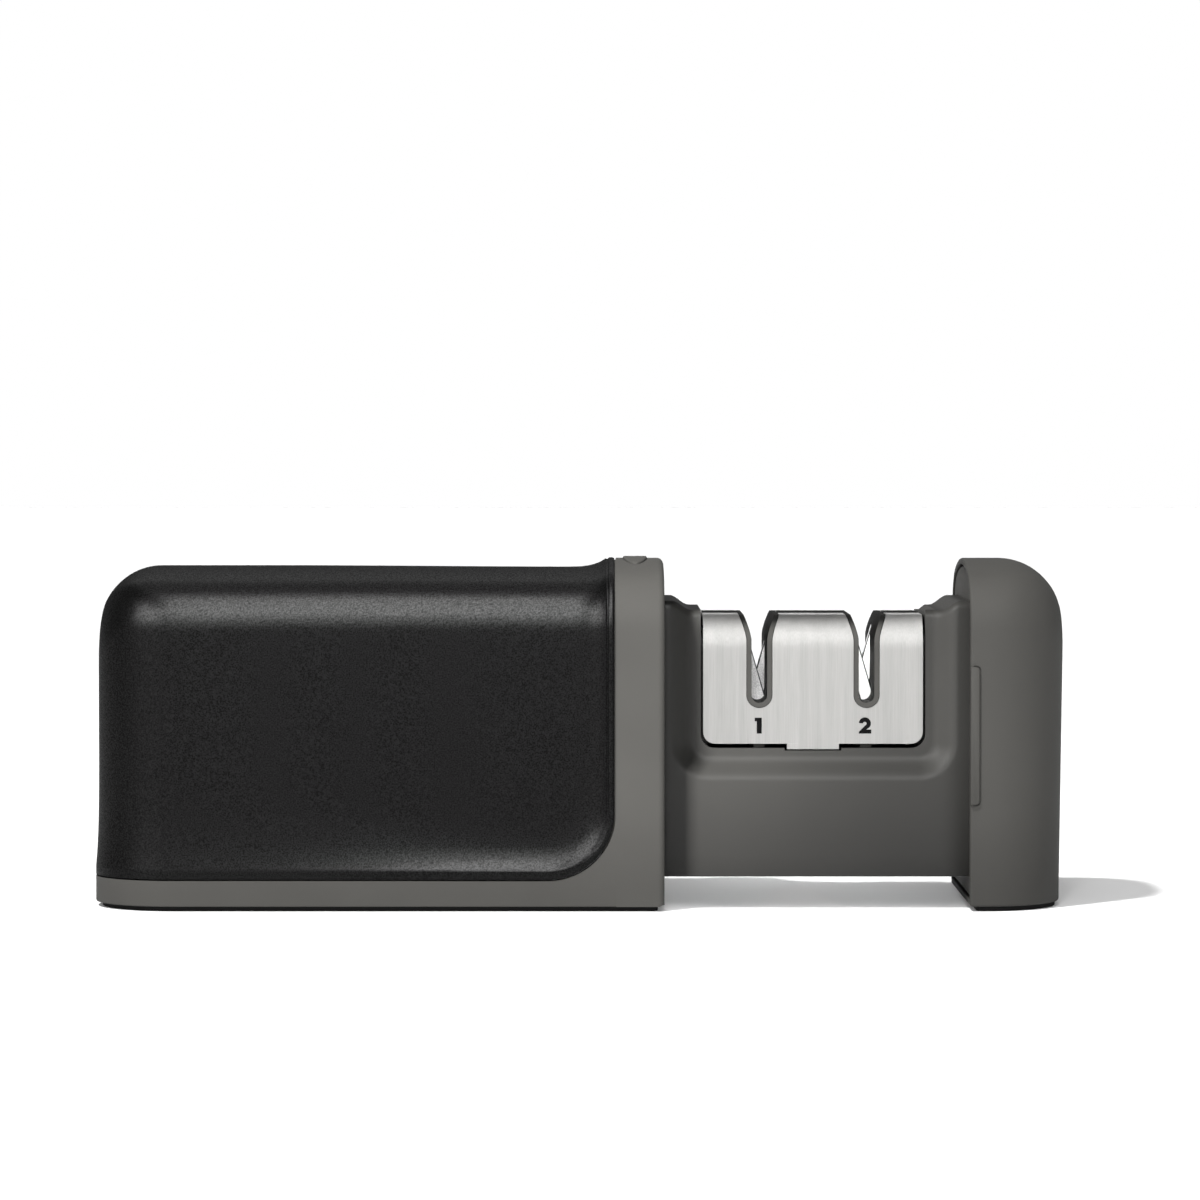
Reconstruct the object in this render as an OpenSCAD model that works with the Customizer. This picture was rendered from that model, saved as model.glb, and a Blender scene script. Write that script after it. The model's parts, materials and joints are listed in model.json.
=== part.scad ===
// Pull-through knife sharpener: a sharpening module that slides out of a chunky handle.
// X runs along the slide, the front faces -Y, Z is up. It is drawn with the module pulled out.
// The origin is on the table, under the middle of the pulled-out length.

/* [Overall] */
// Length of the handle, from its round end to the face of its collar
handle_len = 105.7; // [98:0.1:124]
// Length of the module that shows between collar and end cap when it is pulled out
reach = 56; // [55:0.5:62]
// Length of the end cap
cap_len = 18.1; // [17.5:0.1:26]
// Depth of handle and end cap, front to back
depth = 50; // [48:0.5:60]
// Height of collar and end cap above the table
height = 64.4; // [62:0.1:76]
// Radius of the gently crowned top
crown_r = 65; // [50:1:120]
// Radius between the crowned top and the upright sides
arch_r = 11; // [8:0.5:14]
// Radius of the two round ends, seen from above
end_plan_r = 15.5; // [13:0.5:18]
// Radius of the two round ends, seen from the front
end_side_r = 12.3; // [9:0.1:15]

/* [Handle] */
// Width of the collar that shows beside the grip
collar_w = 8.9; // [8.6:0.1:12]
// Round of the collar's outer edge
collar_edge_r = 1.2; // [0.4:0.1:1.4]
// Height of the base tray's band
band_h = 4.75; // [3.8:0.05:6]
// Radius of the seam where band and collar meet
seam_r = 12.6; // [6:0.1:18]
// How far the grip lies below the surface of the collar
grip_inset = 1.4; // [0.6:0.1:1.8]
// How far the grip's round end lies behind the end of the band
grip_tip = 0.6; // [0.2:0.1:1.4]
// Width over which the grip flares out to meet collar and band
flare_w = 6; // [3:0.5:9]
// Thickness of the soft grip skin
skin_t = 1.3; // [0.8:0.1:1.6]
// Length of the solid end of the grip core
core_end = 9; // [7:0.5:14]
// Thickness of the tray's floor
tray_floor = 2.3; // [1.6:0.1:3]
// Length of the collar's step that reaches under the grip skin
step_w = 2.5; // [1.5:0.1:4]

/* [Pads] */
// How far the rubber pads stand below the mouldings
pad_proud = 0.9; // [0.5:0.1:2]
// How deep the rubber pads sit in the mouldings
pad_seat = 0.6; // [0.3:0.1:0.9]
// Distance from the pads' edge to the outline above
pad_inset = 1.2; // [0.6:0.1:3]

/* [Slide and latch] */
// Running clearance between carrier and tunnel
slide_clear = 0.4; // [0.2:0.05:0.6]
// Gap left between collar and end cap when the module is pushed in
park_gap = 0.3; // [0.2:0.1:1]
// Length of the button, across the collar
button_len = 22; // [14:0.5:26]
// Width of the button, along the slide
button_w = 4.6; // [3.6:0.1:5]
// How far the button stands out of the crown
button_proud = 0.35; // [0.2:0.05:0.8]
// Travel of the button
button_travel = 0.9; // [0.5:0.1:1]
// Distance from the collar's face to the middle of the button
button_back = 5.3; // [4.9:0.1:5.6]
// Thickness of the latch leaf
leaf_t = 0.5; // [0.3:0.05:0.7]
// Width of the latch leaf
leaf_w = 7; // [5:0.5:9]

/* [Carrier] */
// Distance from the front of the collar to the front of the carrier
set_back = 5.5; // [5.3:0.1:7]
// Distance from the crown of the collar to the carrier's shoulders
roof_drop = 7.5; // [7.4:0.1:9]
// Clear height under the carrier
belly = 6; // [5.8:0.1:8]
// Wall thickness of the carrier
carrier_wall = 2.2; // [1.6:0.1:2.6]
// Length of the saddle-shaped recess at the carrier's surface
saddle_len = 53.2; // [50:0.2:54]
// Width of the recess's sloped border
saddle_slope = 4.6; // [2.5:0.1:5]
// Depth of the recess in the front and back faces
saddle_depth = 2.5; // [1.5:0.1:3]
// Depth of the recess in the top
saddle_drop = 2; // [1:0.1:2.2]
// Length of the ramps at the ends of the recess in the top
crest_slope = 3; // [2.5:0.1:5]
// Distance from the carrier's shoulders to the bottom of the recess
saddle_h = 33.2; // [30:0.1:36]
// Corner radius at the bottom of the recess
saddle_r = 7; // [4:0.5:9]

/* [Steel cover] */
// Length of the steel cover
cover_w = 40.6; // [39:0.1:42]
// Height of the steel cover's front
cover_h = 23.8; // [22:0.1:26]
// Sheet thickness
sheet_t = 0.6; // [0.4:0.05:0.8]
// Outer bend radius of the sheet
bend_r = 4.6; // [3:0.1:6]
// Corner radius of the sheet
cover_r = 2.2; // [1:0.1:4]
// Width of the tab at the bottom of the sheet
tab_w = 9.6; // [6:0.1:14]
// Height of the tab
tab_h = 1; // [0.5:0.1:1.5]
// Gap beside the sheet in its seat
cover_gap = 0.45; // [0.2:0.05:0.8]
// Gap below the sheet in its seat
cover_gap_base = 0.8; // [0.2:0.05:1]

/* [Slots and abrasives] */
// Distance between the two slots
slot_pitch = 19.8; // [16:0.1:24]
// Width of the slots in the sheet
slot_w = 4.8; // [4:0.1:6]
// Width of the slots' flared mouths
slot_mouth = 7.6; // [6.4:0.1:9]
// Height of the flare
flare_h = 4.6; // [3:0.1:6]
// Depth of the slots in the sheet
slot_depth = 17.2; // [15:0.1:20]
// Wall of the plastic slot liners
liner_wall = 0.85; // [0.6:0.05:1.1]
// Lean of the abrasive plates
plate_lean = 16; // [12:1:20]
// Thickness of the abrasive plates, across the slot
plate_t = 2.6; // [1.8:0.1:3.2]
// Width of the abrasive plates, along the slot
plate_w = 3; // [2:0.1:5]
// Length of the abrasive plates
plate_len = 15; // [12:0.5:17]
// Depth of the crossing of the coarse plates below the sheet
coarse_cross = 10.5; // [9:0.1:12]
// Depth of the crossing of the fine plates below the sheet
fine_cross = 8.6; // [7.5:0.1:12]

/* [End cap] */
// Lean of the end cap's outer end, wider towards the top
cap_lean = 0.8; // [0:0.1:2]
// Wall of the end cap
cap_wall = 2.2; // [1.8:0.1:3]
// Rim of the end cap around the carrier's flange
cap_rim = 1.2; // [0.8:0.1:1.6]
// Gap between the rim and the flange
flange_gap = 0.35; // [0.1:0.05:0.6]
// Thickness of the carrier's flange
flange_t = 2.5; // [2:0.1:4]
// Depth of the flange behind the rim
flange_back = 0.3; // [0:0.1:1]
// Length of the pull lip
lip_len = 25.3; // [14:0.1:34]
// Width of the pull lip
lip_w = 1.7; // [1.2:0.1:3]
// How far the pull lip stands out
lip_proud = 0.6; // [0.3:0.1:1]
// Height of the middle of the pull lip above the table
lip_z = 32.3; // [24:0.1:40]

/* [Fasteners] */
// Shank diameter of the screws
screw_d = 2.5; // [2:0.1:3]
// Head diameter of the screws
screw_head_d = 5; // [4:0.1:5.6]
// Head height of the screws
screw_head_h = 1.6; // [1.2:0.1:2]
// Diameter of the dowels that join the holder halves
dowel_d = 2.4; // [1.6:0.1:3]
// Length of the dowels
dowel_len = 16; // [10:0.5:20]

/* [Hidden] */
$fn = 64;

frame_grey = [0.42, 0.42, 0.40];
cap_grey = [0.36, 0.36, 0.34];
grip_black = [0.07, 0.07, 0.07];
rubber_black = [0.05, 0.05, 0.05];
steel = [0.82, 0.82, 0.81];

// Gap between pieces that seat on one another
fit = 0.05;
// Radius of the pads' small corners
pad_corner_r = 1;
// Overshoot of cutting shapes
over = 1;
// Steps along the round stretches
arc_steps = 9;
crown_steps = 10;
side_steps = 4;
end_steps = 8;

// Places along the slide
x_end = -(handle_len + reach + cap_len) / 2;
x_face = x_end + handle_len;
x_seam = x_face - collar_w;
x_step = x_seam - step_w;
x_cap = x_face + reach;
x_tip = x_cap + cap_len;
travel = reach - park_gap;
// Shift of the saddle's middle towards the handle
mid_shift = 0.5;
x_mid = x_face + reach / 2 - mid_shift;

// Levels
band_top = pad_proud + band_h;
tray_top = pad_proud + tray_floor;
carrier_top = height - roof_drop;
saddle_top = carrier_top - saddle_drop;
// How far the sheet's top lies below the saddle
cover_sunk = 0.7;
cover_top = saddle_top - cover_sunk;
cover_base = cover_top - cover_h;

// Layers of the handle, measured inwards from the collar's surface
core_inset = grip_inset + skin_t + fit;
tunnel_hw = depth / 2 - set_back + slide_clear;
tunnel_top = carrier_top + slide_clear;
tunnel_r = 2;
x_tunnel = x_end + core_inset + core_end;
rail_w = 2;
rail_y = 12;
rail_clear = 0.3;
band_lap = 2;
mouth_lift = 0.1;

// Latch: the leaf runs under the button and hooks up behind the carrier's stop bar
x_button = x_face - button_back;
leaf_rise = 0.8;
leaf_clear = 0.3;
leaf_z = tunnel_top + leaf_rise;
stop_gap = 0.25;
stop_len = 5;
stop_side = 2.5;
stop_post = 1.5;
stop_hw = leaf_w / 2 + stop_side;
stop_base = leaf_z + leaf_t + leaf_clear;
stop_t = 1.4;
stop_clear = 0.4;
channel_spare = 2;
x_stop = x_step - stop_gap - stop_len;
hook_gap = 0.3;
hook_rise = 1.2;
hook_h = leaf_t + hook_rise;
x_hook = x_stop - hook_gap - leaf_t;
leaf_grip = 1.8;
leaf_back = 0.9;
x_leaf = x_face - leaf_back;
button_flange = 0.9;
button_flange_t = 1.2;
button_clear = 0.15;
foot_inset = 0.5;
pocket_clear = 0.1;
button_foot = leaf_z + leaf_t + fit;
flange_base = button_foot + button_travel;
pocket_top = flange_base + button_flange_t + pocket_clear;

// Carrier
carrier_hw = depth / 2 - set_back;
seat_hw = carrier_hw - saddle_depth;
carrier_edge_r = 1.5;
tail_deck = saddle_top;
shoulder_back = 3;
tail_clear = 0.6;
x_tail = x_tunnel + travel + tail_clear;
seat_wall = 1.6;
seat_ledge = 0.9;
tab_gap = 0.25;
cavity_hw = seat_hw - sheet_t - seat_wall;
cavity_len = cover_w - 2 * seat_ledge;
bulkhead = 2;
tail_wall = 1;
x_flange = x_cap + flange_back;
x_flange_end = x_flange + flange_t;
floor_t = 1.8;
floor_up = 0.2;
floor_clear = 0.1;
floor_base = belly + floor_up;
floor_top = floor_base + floor_t;
floor_hw = carrier_hw - carrier_wall - floor_clear;
boss_wall = 1.7;
bore_clear = 0.1;
head_clear = 0.2;
low_head_h = 1;
boss_d = screw_d + 2 * boss_wall;
bore_d = screw_d + bore_clear;
boss_y = cavity_hw - boss_d / 2;
boss_h = 16;
boss_roof = 2;
boss_lap = 0.4;
thread_spare = 4;
boss_out = cavity_len / 2 + bulkhead + boss_d / 2 - boss_lap;
boss_x = [x_mid - boss_out, x_mid + boss_out];
cap_screw_inset = 6.3;
cap_screw_z = [floor_top + cap_screw_inset, saddle_top - carrier_wall - cap_screw_inset];
cap_screw_len = 9;
rib_t = 2;
rib_clear = 0.6;

// Holder halves
holder_base = cover_base;
holder_top = cover_top - sheet_t - fit;
holder_clear = 0.1;
holder_end_clear = 0.2;
holder_hw = cavity_hw - holder_clear;
holder_len = cavity_len - 2 * holder_end_clear;
holder_edge_r = 3;
liner_clear = 0.1;
slot_x = [x_mid - slot_pitch / 2, x_mid + slot_pitch / 2];
plate_gap = 0.3;
plate_clear = 0.08;
plate_below = 8.4;
dowel_up = 4;
dowel_down = 7;
dowel_clear = 0.1;
dowel_spare = 0.2;
dowel_z = [holder_base + dowel_up, holder_top - dowel_down];
frame_screw_y = 8;
frame_screw_shift = 1;
frame_screw_z = pad_proud + pad_seat + screw_head_h;
frame_screw_len = 12;

// Points of a circular arc
function arc(c, r, a0, a1, n = arc_steps) =
    [for (i = [0:n]) let (a = a0 + (a1 - a0) * i / n) c + r * [cos(a), sin(a)]];

// Even S-shaped rise from 0 to 1
function eased(t) = t * t * (3 - 2 * t);

// Points of an S-shaped slope between two points
function slope(p, q, n = arc_steps) =
    [for (i = [0:n]) let (t = i / n) [p[0] + (q[0] - p[0]) * t, p[1] + (q[1] - p[1]) * eased(t)]];

// Rounded rectangle with its own radius at each end
function plan(x0, x1, hw, r0, r1) = concat(
    arc([x1 - r1, r1 - hw], r1, -90, 0),
    arc([x1 - r1, hw - r1], r1, 0, 90),
    arc([x0 + r0, hw - r0], r0, 90, 180),
    arc([x0 + r0, r0 - hw], r0, 180, 270));

// Upright section with two round upper corners
function gate(hw, base, top, r) = concat(
    [[hw, base]],
    arc([hw - r, top - r], r, 0, 90),
    arc([r - hw, top - r], r, 90, 180),
    [[-hw, base]]);

// U-shaped outline, open at the top, with two round lower corners
function cradle(cx, hw, base, top, r) = concat(
    [[cx - hw, top]],
    arc([cx - hw + r, base + r], r, 180, 270),
    arc([cx + hw - r, base + r], r, 270, 360),
    [[cx + hw, top]]);

// Outline of an oval
function oval(len, w, n = 48) =
    [for (i = [0:n - 1]) let (a = 360 * i / n) [w / 2 * cos(a), len / 2 * sin(a)]];

// Crowned section: each entry is a point and the outward direction there
function arch(hw, base, top, r) =
    let (
        cr = crown_r - depth / 2 + max(hw, arch_r),
        cz = top - cr,
        zc = cz + sqrt(pow(cr - r, 2) - pow(hw - r, 2)),
        a = atan2(zc - cz, hw - r),
        side = [for (k = [0:side_steps]) [hw, base + k * flare_w / side_steps, 1, 0]],
        corner = [for (k = [0:arc_steps]) let (b = a * k / arc_steps)
            [hw - r + r * cos(b), zc + r * sin(b), cos(b), sin(b)]],
        crown = [for (k = [1:crown_steps - 1]) let (b = a + (180 - 2 * a) * k / crown_steps)
            [cr * cos(b), cz + cr * sin(b), cos(b), sin(b)]],
        half = concat(side, corner),
        n = len(half)
    )
    concat(half, crown, [for (k = [n - 1:-1:0]) [-half[k][0], half[k][1], -half[k][2], half[k][3]]]);

// How far a round end of radius r has drawn in at distance d from its tip
function drawn_in(d, r) = d >= r ? 0 : r - sqrt(r * r - (r - d) * (r - d));

// Distances from a round tip at which sections are taken
function tip_steps(r) = [for (i = [0:end_steps]) r * (1 - cos(90 * i / end_steps))];

// Section of the round-ended body at distance d from its tip, drawn in by inset
function body_section(d, inset, base) =
    let (
        hw = depth / 2 - inset - drawn_in(d, end_plan_r - inset),
        top = height - inset - drawn_in(d, end_side_r - inset),
        r = min(arch_r - inset, hw - 1)
    )
    arch(hw, base, top, r);

// Distance from a point of the grip to its seam with collar and band
function seam_distance(x, z) =
    let (u = x_seam - x, v = z - band_top)
    u < seam_r && v < seam_r ? seam_r - norm([seam_r - u, seam_r - v]) : min(u, v);

// How far the grip flares out near its seam
function flare(x, z) = grip_inset * pow(1 - min(1, max(0, seam_distance(x, z)) / flare_w), 2);

// Rings of 3-D points for a loft along X
function ring(x, section) = [for (p = section) [x, p[0], p[1]]];
function flared_ring(x, section) =
    [for (p = section) let (f = flare(x, p[1])) [x, p[0] + f * p[2], p[1] + f * p[3]]];
function flat(section) = [for (p = section) [p[0], p[1]]];

// Middle of a ring's first and middle points, the hub of its end face
function hub(r) = (r[0] + r[floor(len(r) / 2)]) / 2;

// Solid through a row of rings with equal point counts, closed by fans from two hubs
module loft(rings) {
    n = len(rings[0]);
    m = len(rings);
    last = (m - 1) * n;
    sides = [for (i = [0:m - 2], j = [0:n - 1], k = [0:1]) let (a = i * n + j, b = i * n + (j + 1) % n)
        k == 0 ? [a, a + n, b + n] : [a, b + n, b]];
    fans = [for (j = [0:n - 1], k = [0:1]) let (q = (j + 1) % n)
        k == 0 ? [n * m, j, q] : [n * m + 1, last + q, last + j]];
    polyhedron(concat([for (r = rings) each r], [hub(rings[0]), hub(rings[m - 1])]), concat(sides, fans));
}

// Extrusion of a Y-Z section along X
module along_x(x0, len) {
    translate([x0, 0, 0])
        rotate([90, 0, 90])
            linear_extrude(len)
                children();
}

// Extrusion of an X-Z outline along Y, symmetric about the middle plane
module along_y(len) {
    translate([0, len / 2, 0])
        rotate([90, 0, 0])
            linear_extrude(len)
                children();
}

// Round pin along +X or +Y
module pin_x(len, d) {
    rotate([0, 90, 0])
        cylinder(h = len, d = d);
}
module pin_y(len, d) {
    rotate([90, 0, 0])
        cylinder(h = len, d = d, center = true);
}

// Pan-head screw pointing up, with the underside of its head at the origin
module screw_up(len) {
    cylinder(h = len, d = screw_d);
    translate([0, 0, -screw_head_h])
        cylinder(h = screw_head_h, d = screw_head_d);
}

// Body of the handle from its tip to x1, drawn in by inset
module handle_body(inset, base, x1) {
    tip = x_end + inset;
    loft(concat(
        [for (d = tip_steps(end_plan_r - inset)) ring(tip + d, body_section(d, inset, base))],
        [ring(x1, body_section(x1 - tip, inset, base))]));
}

// Region between band and collar that the seam's round corner leaves to the frame
module seam_corner(r) {
    difference() {
        translate([x_seam - seam_r, band_top - over])
            square([seam_r + over, seam_r + over]);
        translate([x_seam - seam_r, band_top + seam_r])
            circle(r);
    }
}

module frame_screw_places() {
    for (s = [-1, 1])
        translate([x_end + core_inset + core_end / 2 + frame_screw_shift, s * frame_screw_y, frame_screw_z])
            children();
}

// Outline of the handle's rubber pad, with grow added all round
function handle_pad_plan(grow) =
    plan(x_end + pad_inset - grow, x_face - pad_inset + grow, depth / 2 - pad_inset + grow,
         end_plan_r - pad_inset, pad_corner_r);

// Handle

module collar() {
    edge = [for (i = [0:arc_steps]) 90 * i / arc_steps];
    whole = arch(depth / 2, pad_proud, height, arch_r);
    well = button_flange + button_clear;
    difference() {
        union() {
            loft(concat(
                [ring(x_seam, whole)],
                [for (a = edge) let (inset = collar_edge_r * (1 - cos(a)))
                    ring(x_face - collar_edge_r * (1 - sin(a)),
                         arch(depth / 2 - inset, pad_proud, height - inset, arch_r - inset))]));
            along_x(x_step, step_w + over)
                polygon(flat(arch(depth / 2 - core_inset, pad_proud, height - core_inset,
                                  arch_r - core_inset)));
        }
        along_x(x_step - over, collar_w + step_w + 2 * over)
            polygon(gate(tunnel_hw, band_top + mouth_lift, tunnel_top, tunnel_r));
        // Well of the button, open to the tunnel below
        translate([x_button, 0, tunnel_top - over])
            linear_extrude(pocket_top - tunnel_top + over)
                polygon(oval(button_len + 2 * well, button_w + 2 * well));
        translate([x_button, 0, tunnel_top])
            linear_extrude(height)
                polygon(oval(button_len + 2 * button_clear, button_w + 2 * button_clear));
        // Way of the latch leaf and the slit that grips its end
        translate([x_step - over, -leaf_w / 2 - leaf_clear, tunnel_top - over])
            cube([x_leaf - leaf_grip - x_step + over, leaf_w + 2 * leaf_clear,
                  leaf_rise + leaf_t + leaf_clear + over]);
        translate([x_button, -leaf_w / 2 - fit, leaf_z - fit])
            cube([x_leaf - x_button, leaf_w + 2 * fit, leaf_t + 2 * fit]);
    }
}

module handle_frame() {
    color(frame_grey)
        difference() {
            union() {
                difference() {
                    translate([0, 0, pad_proud])
                        linear_extrude(band_h)
                            polygon(plan(x_end, x_seam + band_lap, depth / 2, end_plan_r, over));
                    // Hollow of the tray
                    translate([x_tunnel, -tunnel_hw, tray_top])
                        cube([x_step - x_tunnel, 2 * tunnel_hw, band_h]);
                }
                collar();
                // Rails that the carrier runs on
                for (s = [-1, 1])
                    translate([x_tunnel + fit, s * rail_y - rail_w / 2, tray_top - over])
                        cube([x_step - x_tunnel + over, rail_w, belly - rail_clear - tray_top + over]);
                // Webs that carry the seam round the corner
                for (s = [-1, 1])
                    translate([0, s * (depth / 2 - (core_inset - 2 * fit) / 2), 0])
                        along_y(core_inset - 2 * fit)
                            intersection() {
                                seam_corner(seam_r + fit);
                                translate([x_seam - seam_r, band_top - over])
                                    square([seam_r + over / 2, seam_r + over]);
                            }
            }
            // Seat of the rubber pad
            translate([0, 0, pad_proud - over])
                linear_extrude(pad_seat + over)
                    polygon(handle_pad_plan(fit));
            frame_screw_places() {
                cylinder(h = band_h, d = bore_d);
                translate([0, 0, -frame_screw_z])
                    cylinder(h = frame_screw_z + fit, d = screw_head_d + 2 * head_clear);
            }
        }
}

module grip_core() {
    color("dimgray")
        difference() {
            handle_body(core_inset, band_top + fit, x_step - fit);
            along_x(x_tunnel, handle_len)
                polygon(gate(tunnel_hw, band_top - over, tunnel_top, tunnel_r));
            // Channel in the roof for the stop bar and the latch hook
            translate([x_stop - travel - channel_spare, -stop_hw - stop_clear, tunnel_top - over])
                cube([handle_len, 2 * (stop_hw + stop_clear),
                      stop_base + stop_t + stop_clear - tunnel_top + over]);
            frame_screw_places()
                cylinder(h = frame_screw_len + over, d = bore_d);
        }
}

module grip_skin() {
    tip = x_end + grip_tip;
    flare_stations = [for (k = [0:2 * side_steps - 1]) x_seam - fit - flare_w * (1 - k / (2 * side_steps))];
    corner_stations = [for (k = [0:2]) x_seam - seam_r - flare_w + k * seam_r / 3];
    color(grip_black)
        difference() {
            loft(concat(
                [for (d = tip_steps(end_plan_r - grip_inset))
                    flared_ring(tip + d, body_section(d, grip_inset, band_top + fit))],
                [for (x = concat(corner_stations, flare_stations, [x_seam - fit]))
                    flared_ring(x, body_section(x - tip, grip_inset, band_top + fit))]));
            handle_body(core_inset - fit, band_top - over, x_seam + over);
            along_y(depth + 2 * over)
                seam_corner(seam_r);
        }
}

module handle_pad() {
    color(rubber_black)
        linear_extrude(pad_proud + pad_seat - fit)
            polygon(handle_pad_plan(0));
}

module frame_screws() {
    color(steel)
        frame_screw_places()
            screw_up(frame_screw_len);
}

module latch_spring() {
    color("silver") {
        translate([x_hook, -leaf_w / 2, leaf_z])
            cube([x_leaf - fit - x_hook, leaf_w, leaf_t]);
        translate([x_hook, -leaf_w / 2, leaf_z])
            cube([leaf_t, leaf_w, hook_h]);
    }
}

module release_button() {
    color(frame_grey) {
        intersection() {
            translate([x_button, 0, flange_base])
                linear_extrude(height)
                    polygon(oval(button_len, button_w));
            along_x(x_seam, collar_w)
                polygon(flat(arch(depth / 2, pad_proud, height + button_proud, arch_r)));
        }
        translate([x_button, 0, flange_base])
            linear_extrude(button_flange_t)
                polygon(oval(button_len + 2 * button_flange, button_w + 2 * button_flange));
        translate([x_button, 0, button_foot])
            linear_extrude(button_travel + over)
                polygon(oval(leaf_w - 2 * foot_inset, button_w - 2 * foot_inset));
    }
}

// Sliding module

// Front view of the carrier: lowered tail deck, shoulders, saddle
function carrier_outline() =
    let (s0 = x_mid - saddle_len / 2, s1 = x_mid + saddle_len / 2)
    concat(
        [[x_tail, belly], [x_flange_end, belly], [x_flange_end, carrier_top]],
        slope([s1, carrier_top], [s1 - crest_slope, saddle_top]),
        slope([s0 + crest_slope, saddle_top], [s0, carrier_top]),
        [[x_face - shoulder_back, carrier_top], [x_face - shoulder_back - saddle_drop, tail_deck],
         [x_tail, tail_deck]]);

// Recess in one face, as U-shaped rings that draw in along the slope
module saddle_cut() {
    levels = [for (i = [0:arc_steps]) i / arc_steps];
    function u_ring(y, t) =
        let (u = cradle(x_mid, saddle_len / 2 - saddle_slope * t, carrier_top - saddle_h + saddle_slope * t,
                        carrier_top + over, max(saddle_r - saddle_slope * t, cover_r)))
        [for (k = [len(u) - 1:-1:0]) [u[k][0], y, u[k][1]]];
    loft(concat(
        [u_ring(-carrier_hw - over, 0)],
        [for (t = levels) u_ring(-carrier_hw + saddle_depth * eased(t), t)]));
}

// Seat of the steel sheet: all that lies outside the section under the sheet
module cover_seat() {
    intersection() {
        along_y(depth) {
            polygon(cradle(x_mid, cover_w / 2 + cover_gap, cover_base - cover_gap_base, height, cover_r));
            translate([x_mid - tab_w / 2 - cover_gap, cover_base - tab_h - tab_gap])
                square([tab_w + 2 * cover_gap, cover_r + tab_h + tab_gap]);
        }
        difference() {
            translate([x_mid - cover_w, -depth / 2, 0])
                cube([2 * cover_w, depth, height]);
            along_x(x_mid - cover_w - over, 2 * (cover_w + over))
                polygon(gate(seat_hw - sheet_t - fit, -over, cover_top - sheet_t - fit, bend_r - sheet_t));
        }
    }
}

// Slot outline: round bottom, straight sides, flared mouth. grow widens it on every side.
module slot_outline(x, grow) {
    r = slot_w / 2 + grow;
    z0 = cover_top - slot_depth + slot_w / 2;
    z1 = cover_top - flare_h;
    translate([x, z0])
        circle(r);
    polygon([[x - r, z0], [x + r, z0], [x + r, z1], [x + slot_mouth / 2 + grow, cover_top],
             [x + slot_mouth / 2 + grow, height], [x - slot_mouth / 2 - grow, height],
             [x - slot_mouth / 2 - grow, cover_top], [x - r, z1]]);
}

module slot_cuts(grow) {
    for (x = slot_x)
        along_y(depth)
            slot_outline(x, grow);
}

module carrier_screw_places() {
    for (x = boss_x, s = [-1, 1])
        translate([x, s * boss_y, floor_top])
            children();
}

module carrier() {
    flange_inset = cap_rim + flange_gap;
    x_window = x_mid - cavity_len / 2;
    x_saddle = x_mid - saddle_len / 2;
    color(cap_grey) {
        difference() {
            union() {
                intersection() {
                    along_y(2 * carrier_hw)
                        polygon(carrier_outline());
                    along_x(x_tail - over, x_tip - x_tail)
                        polygon(gate(carrier_hw, belly - over, carrier_top, carrier_edge_r));
                }
                along_x(x_flange, flange_t)
                    polygon(flat(arch(depth / 2 - flange_inset, pad_proud + flange_inset,
                                      height - flange_inset, arch_r - flange_inset)));
                // Stop bar that the latch hooks behind
                for (s = [-1, 1])
                    translate([x_stop, s * (stop_hw - stop_post / 2) - stop_post / 2, tail_deck - over])
                        cube([stop_len, stop_post, stop_base - tail_deck + 2 * over]);
                translate([x_stop, -stop_hw, stop_base])
                    cube([stop_len, 2 * stop_hw, stop_t]);
            }
            saddle_cut();
            mirror([0, 1, 0])
                saddle_cut();
            cover_seat();
            slot_cuts(0);
            // Window for the holder halves
            translate([x_window, -cavity_hw, floor_top])
                cube([cavity_len, 2 * cavity_hw, height]);
            // Hollow of the tail, narrower where the saddle is
            translate([x_tail - over, carrier_wall - carrier_hw, floor_top])
                cube([x_saddle - tail_wall - x_tail + over, 2 * (carrier_hw - carrier_wall),
                      tail_deck - carrier_wall - floor_top]);
            translate([x_saddle - tail_wall - over, -cavity_hw, floor_top])
                cube([x_window - bulkhead - x_saddle + tail_wall + over, 2 * cavity_hw,
                      tail_deck - carrier_wall - floor_top]);
            // Hollow behind the flange
            translate([x_window + cavity_len + bulkhead, -cavity_hw, floor_top])
                cube([x_flange - x_window - cavity_len - bulkhead, 2 * cavity_hw,
                      saddle_top - carrier_wall - floor_top]);
            // Seat of the floor plate
            translate([x_tail - over, -floor_hw - floor_clear, belly - over])
                cube([x_flange - x_tail + over, 2 * (floor_hw + floor_clear), floor_top - belly + over]);
            for (z = cap_screw_z)
                translate([x_flange - over, 0, z])
                    pin_x(flange_t + 2 * over, bore_d);
        }
        carrier_screw_places()
            difference() {
                translate([0, 0, fit])
                    cylinder(h = boss_h, d = boss_d);
                cylinder(h = boss_h - boss_roof, d = bore_d);
            }
    }
}

module carrier_floor() {
    color(cap_grey)
        difference() {
            union() {
                translate([x_tail, -floor_hw, floor_base])
                    cube([x_flange - x_tail - floor_clear, 2 * floor_hw, floor_t - fit]);
                for (x = slot_x)
                    translate([x - rib_t / 2, -cavity_hw + rib_clear, floor_base + over])
                        cube([rib_t, 2 * (cavity_hw - rib_clear), holder_base - fit - floor_base - over]);
            }
            carrier_screw_places() {
                translate([0, 0, -floor_t - over])
                    cylinder(h = floor_t + 2 * over, d = bore_d);
                translate([0, 0, -floor_t - over])
                    cylinder(h = low_head_h + over, d = screw_head_d + 2 * head_clear);
            }
        }
}

module carrier_screws() {
    color(steel)
        carrier_screw_places() {
            translate([0, 0, -floor_t])
                cylinder(h = boss_h - thread_spare, d = screw_d);
            translate([0, 0, -floor_t])
                cylinder(h = low_head_h - fit, d = screw_head_d);
        }
}

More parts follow.
